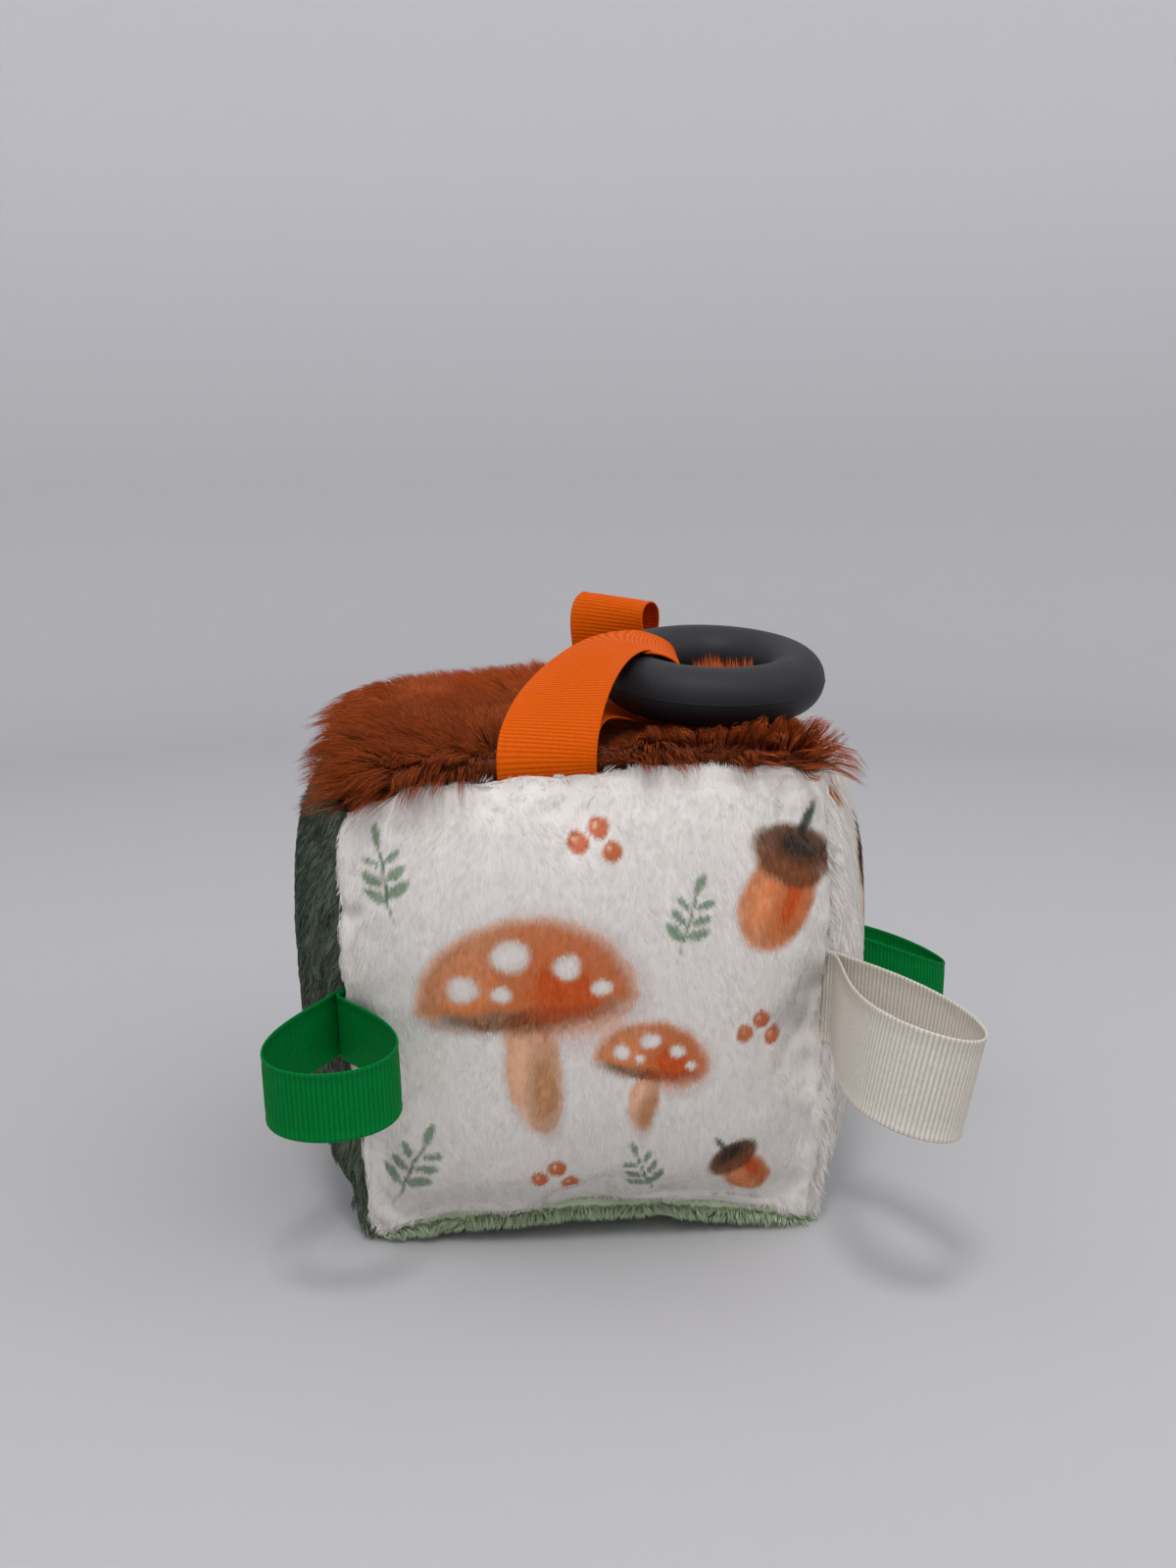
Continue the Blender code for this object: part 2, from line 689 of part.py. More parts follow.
def build_ring_ribbon(place):
    """Up from the seam, over the ring's left side, through the ring and back under it."""
    wrap = wrap_rows()
    inward = ring_frame()[1] @ Vector((1, 0, 0))
    way = Matrix.Rotation(math.radians(RING_RIBBON_TURN), 3, place.along) @ place.out
    apart = place.along.cross(way) * ((RIBBON_THICKNESS + CLEARANCE) / 2)
    root = place.hinge + way * RIBBON_THICKNESS
    upper = leaf_rows(root + apart, way, place.along, wrap[0], inward, UPPER_SWING)
    lower = leaf_rows(root - apart, way, place.along, wrap[-1], inward, LOWER_SWING)
    return build_band("ring_ribbon", upper + wrap + lower[::-1], "orange grosgrain", place.hinge)


# Assembly


def print_turn(name, point, axis):
    """Where a moving piece turns, and about which way."""
    print(name, "turns at", [round(part, 5) for part in point], "about", [round(part, 5) for part in axis])


def build():
    clear_scene()
    panels = {name: build_panel(name) for name in PANELS}
    build_fill()
    front_top = SeamPlace((0, -1, 0), (0, 0, 1), RING_RIBBON_OFFSET / (BLOCK_WIDTH / 2))
    build_tail(
        "ring_ribbon_tail", front_top, WIDE_RIBBON, "orange grosgrain",
        (panels["panel_front"], panels["panel_top"]),
    )
    build_ring()
    build_ring_ribbon(front_top)
    for name, (one, two, share, *beside) in LOOPS.items():
        place = SeamPlace(one, two, share)
        width, *form, finish_name = LOOP_FORMS[name]
        build_tail(name + "_tail", place, width, finish_name, [panels[panel] for panel in beside])
        build_loop(name, place, width, *form, finish_name)
        print_turn(name, place.hinge, place.along)
    print_turn("ring_ribbon", front_top.hinge, front_top.along)
    centre, lean = ring_frame()
    print_turn("teething_ring", centre, lean.col[2])


build()
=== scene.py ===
# %% [markdown]
# # A soft fabric block for a baby
#
# This lesson dresses a plain model of a stuffed plush cube. The cube is about as wide as a
# hand, with a long-haired top, short plush sides, five folded ribbon loops caught in its
# seams and a silicone ring on one of them. The plain solids come in as a frame, and each
# soft piece is then built again with the shape, pile and weave of the real one.
#
# Everything is in metres, +Z up. The front face looks along -Y.

# %% Bring in the frame
import json
import math
from collections import Counter

import bmesh
import bpy
import numpy as np
from mathutils import Matrix, Vector, kdtree, noise


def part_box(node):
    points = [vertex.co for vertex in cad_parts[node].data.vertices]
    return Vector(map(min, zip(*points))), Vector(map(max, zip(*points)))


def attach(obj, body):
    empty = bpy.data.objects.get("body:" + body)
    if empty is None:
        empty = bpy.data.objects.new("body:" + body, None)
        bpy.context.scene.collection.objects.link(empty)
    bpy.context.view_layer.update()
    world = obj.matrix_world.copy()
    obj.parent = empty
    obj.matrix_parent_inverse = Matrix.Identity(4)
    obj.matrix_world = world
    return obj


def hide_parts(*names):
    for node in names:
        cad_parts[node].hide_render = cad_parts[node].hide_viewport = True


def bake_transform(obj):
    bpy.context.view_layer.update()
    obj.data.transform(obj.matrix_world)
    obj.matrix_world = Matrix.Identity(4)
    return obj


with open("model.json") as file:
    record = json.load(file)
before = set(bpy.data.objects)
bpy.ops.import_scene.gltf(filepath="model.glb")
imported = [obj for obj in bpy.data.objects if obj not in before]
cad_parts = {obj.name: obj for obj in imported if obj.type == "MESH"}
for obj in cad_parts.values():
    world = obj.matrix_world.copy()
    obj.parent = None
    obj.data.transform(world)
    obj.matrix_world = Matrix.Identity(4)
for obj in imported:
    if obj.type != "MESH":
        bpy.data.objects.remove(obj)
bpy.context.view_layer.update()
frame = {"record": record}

joints = {joint["name"]: joint for joint in frame["record"]["behaviour"]["joints"]}

# %% [markdown]
# ## Colours
#
# Colours are picked as the 0 to 255 numbers that a screen shows. Cycles works in
# linear light, so a small helper converts them. Each finish of the block gets its own
# plain name here, and the materials below are made from these.

# %% Colours
def screen(red, green, blue):
    """Linear colour from screen numbers."""
    parts = [value / 255 for value in (red, green, blue)]
    return tuple(part / 12.92 if part <= 0.04045 else ((part + 0.055) / 1.055) ** 2.4 for part in parts)


IVORY = screen(240, 235, 229)
MOSS = screen(103, 114, 97)
SAGE = screen(212, 228, 192)
RUST = screen(162, 76, 33)
ORANGE = screen(226, 92, 0)
LEAF_GREEN = screen(0, 124, 52)
CREAM = screen(224, 217, 204)
CHARCOAL = screen(31, 31, 35)
FLOOR = screen(194, 193, 194)
WALL = screen(214, 213, 216)
print("ivory in linear light:", [round(part, 3) for part in IVORY])

# %% [markdown]
# ## Three helpers
#
# Every piece below ends as points and faces, and every finish as nodes joined by links.
# Written out each time, that hides what is special about a piece. So one helper makes an
# object from points and faces, and two more make a finish and its nodes.

# %% Helpers for meshes and finishes
def add_object(name, points, faces, smooth=True):
    """A mesh object made of points and faces, in the scene."""
    mesh = bpy.data.meshes.new(name)
    mesh.from_pydata(points, [], faces)
    if smooth:
        mesh.shade_smooth()
    made = bpy.data.objects.new(name, mesh)
    bpy.context.collection.objects.link(made)
    return made


def new_finish(name, values):
    """A material with constant values on its shader, and two makers for its nodes and links."""
    finish = bpy.data.materials.new(name)
    finish.use_nodes = True
    tree = finish.node_tree

    def add(kind, values=None, **settings):
        node = tree.nodes.new("ShaderNode" + kind)
        for setting, value in settings.items():
            setattr(node, setting, value)
        for socket, value in (values or {}).items():
            node.inputs[socket].default_value = value
        return node

    def join(*links):
        for start, output, end, socket in links:
            tree.links.new(start.outputs[output], end.inputs[socket])

    shader = tree.nodes["Principled BSDF"]
    for socket, value in values.items():
        shader.inputs[socket].default_value = value
    return finish, shader, add, join


print("helpers ready")

# %% [markdown]
# ## The studio
#
# The block stands on a plain pale floor. Floor and wall are one bowl, turned from a single
# profile, so that every side view has the same soft background. A small lamp in front and
# above gives the soft shadows, a wide dim one lifts the right side, and the sky does the
# rest, as white walls would. The camera stands where it stood for the photograph: just
# above the block, a little to its left, looking down.

# %% Floor and wall
FLOOR_RADIUS, WALL_BEND, WALL_HEIGHT = 0.66, 0.16, 0.75
BOWL_STEPS, BEND_STEPS = 96, 8


def studio_bowl():
    profile = [(0.0, 0.0), (FLOOR_RADIUS, 0.0)]
    for step in range(1, BEND_STEPS + 1):
        angle = math.pi / 2 * step / BEND_STEPS
        profile.append((FLOOR_RADIUS + WALL_BEND * math.sin(angle), WALL_BEND * (1 - math.cos(angle))))
    profile.append((FLOOR_RADIUS + WALL_BEND, WALL_HEIGHT))
    points, faces = [(0.0, 0.0, 0.0)], []
    for radius, height in profile[1:]:
        for step in range(BOWL_STEPS):
            angle = 2 * math.pi * step / BOWL_STEPS
            points.append((radius * math.cos(angle), radius * math.sin(angle), height))
    for step in range(BOWL_STEPS):
        following = (step + 1) % BOWL_STEPS
        faces.append((0, 1 + step, 1 + following))
        for level in range(len(profile) - 2):
            low, high = 1 + level * BOWL_STEPS, 1 + (level + 1) * BOWL_STEPS
            faces.append((low + step, high + step, high + following, low + following))
    return add_object("studio_bowl", points, faces)


def studio_paint():
    """The floor's colour below, which turns into the wall's on the way up."""
    finish, shader, add, join = new_finish("studio paint", {"Roughness": 0.7, "Specular IOR Level": 0.2})
    height, place = add("SeparateXYZ"), add("TexCoord")
    climb = add("MapRange", {"From Max": WALL_HEIGHT / 2})
    paints = add("Mix", {"A": (*FLOOR, 1), "B": (*WALL, 1)}, data_type="RGBA")
    join(
        (place, "Object", height, "Vector"), (height, "Z", climb, "Value"),
        (climb, "Result", paints, "Factor"), (paints, "Result", shader, "Base Color"),
    )
    return finish


bowl = studio_bowl()
bowl.data.materials.append(studio_paint())
print("bowl across:", 2 * (FLOOR_RADIUS + WALL_BEND), "m")

# %% Lamps and sky
SKY_LEVEL = 0.92
LAMPS = {
    # name: place, size, watts
    "lamp_overhead": ((-0.06, -0.56, 1.02), 0.22, 3.2),
    "lamp_right": ((0.75, -0.30, 0.50), 0.50, 1.3),
}
BLOCK_MIDDLE = Vector((0, 0, 0.058))

for name, (place, size, watts) in LAMPS.items():
    light = bpy.data.lights.new(name, "AREA")
    light.shape = "DISK"
    light.size = size
    light.energy = watts
    lamp = bpy.data.objects.new(name, light)
    lamp.location = place
    lamp.rotation_euler = (BLOCK_MIDDLE - Vector(place)).to_track_quat("-Z", "Y").to_euler()
    bpy.context.collection.objects.link(lamp)

scene = bpy.context.scene
scene.view_settings.view_transform = "Standard"
scene.world = bpy.data.worlds.new("studio sky")
scene.world.use_nodes = True
sky = scene.world.node_tree.nodes["Background"]
sky.inputs["Color"].default_value = (*screen(248, 250, 255), 1)
sky.inputs["Strength"].default_value = SKY_LEVEL
print("lamps:", len(LAMPS), "sky:", SKY_LEVEL)

# %% Camera
CAMERA_PLACE = (-0.022, -0.419, 0.181)
CAMERA_YAW, CAMERA_PITCH, CAMERA_ROLL = 3.62, 11.29, -0.65
LENS, SENSOR = 38.6, 36.0

yaw, pitch, roll = (math.radians(angle) for angle in (CAMERA_YAW, CAMERA_PITCH, CAMERA_ROLL))
ahead = Vector((math.sin(yaw) * math.cos(pitch), math.cos(yaw) * math.cos(pitch), -math.sin(pitch)))
level_right = Vector((math.cos(yaw), -math.sin(yaw), 0))
level_up = level_right.cross(ahead)
right = level_right * math.cos(roll) + level_up * math.sin(roll)
camera_data = bpy.data.cameras.new("camera")
camera_data.sensor_fit = "VERTICAL"
camera_data.sensor_height = SENSOR
camera_data.lens = LENS
camera_data.clip_start = 0.01
camera = bpy.data.objects.new("camera", camera_data)
camera.matrix_world = Matrix((right, right.cross(ahead), -ahead)).transposed().to_4x4()
camera.location = CAMERA_PLACE
bpy.context.collection.objects.link(camera)
scene.camera = camera
print("camera to block:", round((BLOCK_MIDDLE - camera.location).length, 3), "m")

# %% [markdown]
# ## The stuffed cube
#
# Six squares of plush are sewn edge to edge, turned right side out and stuffed. Two things
# make such a cube look soft: each face swells between its seams, and beside each seam the
# cloth rolls over and dives into a little valley. The faces below are grids whose first and
# last few rows follow that roll. Where three seams meet the corner is drawn in, the cloth
# at the base is pulled in by the weight, and the front left corner of the top hangs.

# %% Sizes of the cube
BLOCK_SIZE = Vector((0.110, 0.110, 0.106))
SEAM_RISE = 0.005
BASE_DRAW_IN, BASE_DRAW_IN_LEFT = 0.0025, 0.0046
TOP_ARCH = 0.0014  # the front top seam rises this much in its middle
BASE_ARCH = 0.0034  # the bottom seams rise this much between the corners
CORNER_SAG = 0.006
CORNER_DRAW, LOW_CORNER_DRAW = 0.0030, 0.0012
LOW_CORNER_DROP = 0.0022
SEAM_ROLL = 0.0026
SEAM_ALLOWANCE = 0.0085
BACKING_SINK = 0.0009  # the cloth lies this far under the tips of its own short pile
SIDE_CROWN, LEFT_CROWN, TOP_CROWN, BASE_CROWN = 0.0095, 0.0070, 0.0008, 0.0060
FACE_CELLS, ROLL_CELLS = 34, 4
SAG_POWER, CORNER_POWER = 3, 4

SQUARES = {
    # name: across, up, outward, crown, fullness
    "front": ((1, 0, 0), (0, 0, 1), (0, -1, 0), SIDE_CROWN, 3.0),
    "back": ((-1, 0, 0), (0, 0, 1), (0, 1, 0), SIDE_CROWN, 3.0),
    "right": ((0, 1, 0), (0, 0, 1), (1, 0, 0), SIDE_CROWN, 3.0),
    "left": ((0, -1, 0), (0, 0, 1), (-1, 0, 0), LEFT_CROWN, 3.0),
    "top": ((1, 0, 0), (0, 1, 0), (0, 0, 1), TOP_CROWN, 4.0),
    "bottom": ((1, 0, 0), (0, -1, 0), (0, 0, -1), BASE_CROWN, 4.0),
}
GRID = FACE_CELLS + 2 * ROLL_CELLS + 1
cube_middle = np.array((0, 0, SEAM_RISE + BLOCK_SIZE.z / 2))
print("grid lines over each square:", GRID)


# %% How the cube settles
def settled(points):
    """Where points of the evenly stuffed cube lie once it has settled."""
    width, depth, height = BLOCK_SIZE
    x, y, z = points[..., 0], points[..., 1], points[..., 2]
    up = np.clip((z - SEAM_RISE) / height, 0, 1)
    low = (1 - up) ** 2
    corner = np.clip(0.5 - x / width, 0, 1) * np.clip(0.5 - y / depth, 0, 1)
    sag = CORNER_SAG * up * corner ** SAG_POWER
    aside, along = np.minimum(np.abs(2 * x / width), 1), np.minimum(np.abs(2 * y / depth), 1)
    reach = (aside * along * np.abs(2 * up - 1)) ** CORNER_POWER
    lower = up < 0.5
    draw = np.where(lower, LOW_CORNER_DRAW, CORNER_DRAW) * reach
    drop = np.where(lower, LOW_CORNER_DROP, CORNER_DRAW) * reach
    arch = BASE_ARCH * low ** 2 * (1 - np.minimum(aside, along) ** 2)
    arch += TOP_ARCH * up ** 4 * (1 - aside ** 2) * np.clip(-2 * y / depth, 0, 1) ** 6
    draw_in = np.where(x < 0, BASE_DRAW_IN_LEFT, BASE_DRAW_IN)
    return np.stack((
        x * (1 - 2 * low * draw_in / width) - np.copysign(draw, x),
        y * (1 - 2 * low * BASE_DRAW_IN / depth) - np.copysign(draw, y),
        z - sag - drop + arch,
    ), axis=-1)


def seam_rows(half):
    """Along one direction of a square: places, heights, how far each row rolls, and swell."""
    bend = SEAM_ROLL / math.sqrt(2)
    turn = np.radians(225 - 135 * np.arange(ROLL_CELLS + 1) / ROLL_CELLS)
    rolled_in, out = bend + SEAM_ROLL * np.cos(turn), bend + SEAM_ROLL * np.sin(turn)
    plain_in = bend * np.arange(ROLL_CELLS + 1) / ROLL_CELLS
    middle = np.linspace(-half + bend, half - bend, FACE_CELLS + 1)[1:-1]
    swell = 1 - np.abs(np.concatenate((
        np.full(ROLL_CELLS + 1, -1.0), middle / (half - bend), np.full(ROLL_CELLS + 1, 1.0),
    )))
    heights = np.concatenate((out, np.full(len(middle), bend + SEAM_ROLL), out[::-1]))
    rolled = np.concatenate((-half + rolled_in, middle, half - rolled_in[::-1]))
    plain = np.concatenate((-half + plain_in, middle, half - plain_in[::-1]))
    return plain, rolled, heights, swell


def square_grid(name, sink=0.0):
    """Points of one stuffed square before it settles, as a grid."""
    across, up, outward = (np.array(side, float) for side in SQUARES[name][:3])
    crown, fullness = SQUARES[name][3:]
    sizes = np.array(BLOCK_SIZE)
    plain_a, rolled_a, out_a, swell_a = seam_rows(float(sizes @ np.abs(across)) / 2)
    plain_u, rolled_u, out_u, swell_u = seam_rows(float(sizes @ np.abs(up)) / 2)
    full = out_a.max()
    weigh_a, weigh_u = np.clip(out_a / full, 0, 1), np.clip(out_u / full, 0, 1)
    a = plain_a[None, :] + (rolled_a - plain_a)[None, :] * weigh_u[:, None]
    u = plain_u[:, None] + (rolled_u - plain_u)[:, None] * weigh_a[None, :]
    swelled = (1 - (1 - swell_a) ** fullness)[None, :] * (1 - (1 - swell_u) ** fullness)[:, None]
    out = np.minimum(out_a[None, :], out_u[:, None]) + crown * swelled
    out -= sink * np.clip(out / full, 0, 1)
    middle = cube_middle + outward * float(sizes @ np.abs(outward)) / 2
    points = middle + a[..., None] * across + u[..., None] * up + out[..., None] * outward
    if name == "bottom":
        points[..., 2] = np.maximum(points[..., 2], sink)
    return settled(points)


grids = {name: square_grid(name, BACKING_SINK) for name in SQUARES}
print("front stands out to y =", round(float(grids["front"][..., 1].min()), 4))

# %% [markdown]
# ## Stuffing it with a cloth simulation
#
# The faces could simply keep the smooth swell above, but real plush is cut a little larger
# than the shape that the stuffing holds, so it puckers beside the seams. Blender's cloth can
# find those puckers: the six squares are welded into one skin, the seam lines are pinned,
# the cloth is told that it has a few per cent more length than it shows, and a gentle
# pressure from inside fills it. The result is then read back into the grids. How far a
# point may move is capped, so the cube keeps its size.

# %% Weld the six squares into one skin
def welded_skin():
    """One closed mesh of all the squares, and for each square its grid of vertex numbers."""
    numbers, points, faces, places, pinned = {}, [], [], {}, set()
    loose = {name: np.round(grid, 5) for name, grid in grids.items()}
    for name, grid in grids.items():
        found = np.empty((GRID, GRID), int)
        for row in range(GRID):
            for column in range(GRID):
                on_seam = row in (0, GRID - 1) or column in (0, GRID - 1)
                key = tuple(loose[name][row, column]) if on_seam else (name, row, column)
                if key not in numbers:
                    numbers[key] = len(points)
                    points.append(grid[row, column])
                found[row, column] = numbers[key]
                if on_seam or name == "bottom":
                    pinned.add(numbers[key])
        places[name] = found
        for row in range(GRID - 1):
            for column in range(GRID - 1):
                faces.append((
                    found[row, column], found[row, column + 1],
                    found[row + 1, column + 1], found[row + 1, column],
                ))
    skin = add_object("stuffed_skin", points, faces, smooth=False)
    return skin, places, sorted(int(number) for number in pinned)


skin, skin_places, skin_pins = welded_skin()
print("skin points:", len(skin.data.vertices), "pinned:", len(skin_pins))

# %% Let the stuffing press
SIM_FRAMES = 20
CLOTH_SETTINGS = {
    "quality": 6, "mass": 0.15, "tension_stiffness": 14, "compression_stiffness": 14,
    "shear_stiffness": 5, "bending_stiffness": 0.6, "use_pressure": True,
    "uniform_pressure_force": 3.0, "vertex_group_mass": "seams",
    "shrink_min": -0.035,  # a negative shrink is spare cloth
}
MOST_MOVE, MOST_MOVE_ON_TOP = 0.0028, 0.0003  # the ring and the fur hold the top down


def mesh_points(mesh, what="co"):
    """A mesh's points, or its normals there, as rows of three."""
    found = np.empty(3 * len(mesh.vertices))
    if what == "normal":
        mesh.vertex_normals.foreach_get("vector", found)
    else:
        mesh.vertices.foreach_get("co", found)
    return found.reshape(-1, 3)


def press_out(skin, pins):
    """Runs the cloth and returns where its points end."""
    group = skin.vertex_groups.new(name="seams")
    group.add(pins, 1.0, "REPLACE")
    cloth = skin.modifiers.new("stuffing", "CLOTH")
    for setting, value in CLOTH_SETTINGS.items():
        setattr(cloth.settings, setting, value)
    cloth.settings.effector_weights.gravity = 0
    cloth.collision_settings.use_collision = False
    cloth.point_cache.frame_start = 1
    cloth.point_cache.frame_end = SIM_FRAMES
    for number in range(1, SIM_FRAMES + 1):
        scene.frame_set(number)
    ended = mesh_points(skin.evaluated_get(bpy.context.evaluated_depsgraph_get()).data)
    scene.frame_set(1)
    return ended


before = mesh_points(skin.data)
move = press_out(skin, skin_pins) - before
size = np.linalg.norm(move, axis=1, keepdims=True)
for name, places in skin_places.items():
    most = MOST_MOVE_ON_TOP if name == "top" else MOST_MOVE
    held = move * np.minimum(1, most / np.maximum(size, 1e-9))
    grids[name] = (before + held)[places]
print("cloth moved, most and mean in mm:", round(size.max() * 1000, 2), round(size.mean() * 1000, 2))
bpy.data.objects.remove(skin, do_unlink=True)

# %% [markdown]
# ## Six squares of plush
#
# Each square becomes an object of its own, as a sewer would cut it. Its outer face comes
# from the stuffed grid, and one more row turns in along the seam as the allowance. A
# Subdivision modifier smooths it, and Solidify gives the cloth its thickness. Small puckers
# are pushed in beside the seams, and broad soft dents over the whole face, because hand
# stuffing is never even.

# %% Cut, pucker and thicken a square
CLOTH_WALL = 0.0008
SEAM_PARTING = 0.0002  # keeps the two allowances of a seam apart
PUCKER_DEPTH, PUCKER_REACH, PUCKER_PITCH = 0.0008, 0.009, 0.0065
DENT_DEPTH, DENT_PITCH = 0.0007, 0.030
EDGE_POWER = 12  # a higher power keeps the outward way closer to the edges


def hemmed_grid(name):
    """The square's grid with an extra row round it, turned in as the allowance."""
    across, up, outward = (np.array(side, float) for side in SQUARES[name][:3])
    grid = grids[name].copy()
    last = GRID - 1
    wide = np.pad(grid, ((1, 1), (1, 1), (0, 0)), mode="edge")
    for row in range(GRID + 2):
        for column in range(GRID + 2):
            aside = (column >= last + 1) * 1.0 - (column <= 1) * 1.0
            along = (row >= last + 1) * 1.0 - (row <= 1) * 1.0
            if not aside and not along:
                continue
            sides = across * aside + up * along
            parted = outward - sides
            wide[row, column] += parted / np.linalg.norm(parted) * SEAM_PARTING
            if row in (0, last + 2) or column in (0, last + 2):
                inward = -(outward + sides)
                wide[row, column] += inward / np.linalg.norm(inward) * SEAM_ALLOWANCE
    return wide


def seam_distance(points):
    """How far points of the cube lie from the nearest seam line, about."""
    offsets = np.array(BLOCK_SIZE) / 2 - np.abs(points - cube_middle)
    return np.sort(np.abs(offsets), axis=1)[:, 1]


def handmade(points, normals):
    """Moves points in and out as puckers beside the seams and as broad dents."""
    near = np.exp(-seam_distance(points) / PUCKER_REACH)
    lifts = np.empty(len(points))
    for index, point in enumerate(points):
        pucker = noise.noise(Vector(point / PUCKER_PITCH)) * near[index] * PUCKER_DEPTH
        dent = noise.noise(Vector(point / DENT_PITCH)) * DENT_DEPTH
        lifts[index] = pucker + dent
    return points + normals * lifts[:, None]


def unit(vectors):
    return vectors / np.maximum(np.linalg.norm(vectors, axis=-1, keepdims=True), 1e-12)


def outward_over_edges(points):
    """Level directions that point straight out over the nearest edge of the cube."""
    place = (points - cube_middle)[:, :2] / (np.array(BLOCK_SIZE)[:2] / 2)
    ways = np.zeros_like(points)
    ways[:, :2] = np.sign(place) * np.clip(np.abs(place), 0, 1.2) ** EDGE_POWER
    return unit(ways)


def sew_square(name, fineness):
    size = GRID + 2
    numbers = np.arange(size * size).reshape(size, size)
    corners = numbers[:-1, :-1], numbers[:-1, 1:], numbers[1:, 1:], numbers[1:, :-1]
    faces = np.stack(corners, axis=-1).reshape(-1, 4)
    square = add_object("plush_" + name, hemmed_grid(name).reshape(-1, 3), faces, smooth=False)
    smooth = square.modifiers.new("smooth", "SUBSURF")
    smooth.levels = smooth.render_levels = fineness
    fine = bpy.data.meshes.new_from_object(square.evaluated_get(bpy.context.evaluated_depsgraph_get()))
    square.modifiers.clear()
    square.data = fine
    shaped = handmade(mesh_points(fine), mesh_points(fine, "normal"))
    shaped[:, 2] = np.maximum(shaped[:, 2], CLOTH_WALL)
    fine.vertices.foreach_set("co", shaped.ravel())
    fine.shade_smooth()
    wall = square.modifiers.new("cloth wall", "SOLIDIFY")
    wall.thickness = CLOTH_WALL
    wall.offset = -1
    return square


FINENESS = {"front": 2, "right": 2}
plush = {name: sew_square(name, FINENESS.get(name, 1)) for name in SQUARES}
for name, square in plush.items():
    print(square.name, "points:", len(square.data.vertices))

# %% [markdown]
# ## Grosgrain ribbons
#
# Grosgrain is a flat ribbon with a rib across it about every millimetre, where thin warp
# threads run over thick weft ones, and with a beaded edge at each side. On a close-up the
# ribs catch the light one by one, so they are modelled, and the finish adds painted shade
# in the grooves between them and painted light on their tops. Each ribbon starts as a few
# rows of points laid across its path. The path is then cut into equal steps, six to a rib,
# and the thickness of every row follows the rib.

# %% Where the ribbons leave their seams
RIBBON_THICKNESS = 0.00055
WIDE_RIBBON, NARROW_RIBBON = 0.022, 0.015
TAIL_DEPTH, TAIL_STAND = 0.0080, 0.0030
PLY_GAP = 0.0003


class SeamPlace:
    """Where a ribbon leaves a seam: the hinge point and the ways along, out and aside."""

    def __init__(self, joint_name, side_one, side_two):
        joint = joints[joint_name]
        self.hinge, self.along = Vector(joint["pos_m"]), Vector(joint["axis"]).normalized()
        out = Vector(side_one) + Vector(side_two)
        self.out = (out - self.along * out.dot(self.along)).normalized()
        self.side = self.along.cross(self.out)
        self.seam = self.hinge - self.out * TAIL_STAND


seam_places = {
    "ring_ribbon": SeamPlace("ring_ribbon_flip", (0, -1, 0), (0, 0, 1)),
    "rear_loop": SeamPlace("rear_loop_bend", (0, 1, 0), (0, 0, 1)),
    "left_loop": SeamPlace("left_loop_bend", (-1, 0, 0), (0, -1, 0)),
    "right_loop": SeamPlace("right_loop_bend", (1, 0, 0), (0, -1, 0)),
    "right_rear_loop": SeamPlace("right_rear_loop_bend", (1, 0, 0), (0, 1, 0)),
}
for name, place in seam_places.items():
    print(name, "leaves its seam at", [round(part, 3) for part in place.hinge])


# %% Paths of the free loops
PINCH_POWER = 1.5  # how tightly a loop closes at its seam
LOOP_STEPS, SEWN_STEPS, RIBBON_COLUMNS = 60, 11, 7
LOOPS = {
    # name: width, reach, opening, turn and twist in degrees, droop
    "rear_loop": (WIDE_RIBBON, 0.0265, 0.012, 54, -35, 0),
    "left_loop": (NARROW_RIBBON, 0.038, 0.0275, 48, 0, 0.0035),
    "right_loop": (WIDE_RIBBON, 0.051, 0.022, -30, -13, 0.002),
    "right_rear_loop": (NARROW_RIBBON, 0.0555, 0.0165, -56.5, 0, 0.0115),
}


def row_across(middle, along, width):
    """Points across the ribbon at one place of its path."""
    shares = np.linspace(-0.5, 0.5, RIBBON_COLUMNS)
    return np.array([middle + along * (width * share) for share in shares])


def sewn_rows(place, width, sign, offset):
    """The straight rows of one sewn end, from inside the seam to the hinge."""
    return [
        row_across(place.hinge + place.out * depth + place.side * (sign * offset), place.along, width)
        for depth in np.linspace(-(TAIL_DEPTH + TAIL_STAND), 0, SEWN_STEPS + 1)[:-1]
    ]


def loop_rows(name):
    """A drop-shaped fold whose two ends meet at the seam, with its sewn ends."""
    width, reach, opening, turn, twist, droop = LOOPS[name]
    place = seam_places[name]
    turned = Matrix.Rotation(math.radians(turn), 3, place.along)
    out, side = turned @ place.out, turned @ place.side
    root = (RIBBON_THICKNESS + PLY_GAP) / 2
    angles = np.linspace(0, 2 * math.pi, LOOP_STEPS + 1)
    swells = np.sin(angles) * np.sin(angles / 2) ** PINCH_POWER
    rows = []
    for angle, swell in zip(angles, swells / swells.max()):
        far = (1 - math.cos(angle)) / 2
        twisted = Matrix.Rotation(math.radians(twist * far), 3, out)
        middle = (
            place.hinge + out * (RIBBON_THICKNESS + reach * far)
            + twisted @ side * (root * math.cos(angle / 2) + opening / 2 * swell)
            - Vector((0, 0, droop * far ** 2))
        )
        rows.append(row_across(middle, twisted @ place.along, width))
    near, far = sewn_rows(place, width, 1, root), sewn_rows(place, width, -1, root)
    return np.array(near + rows + far[::-1])


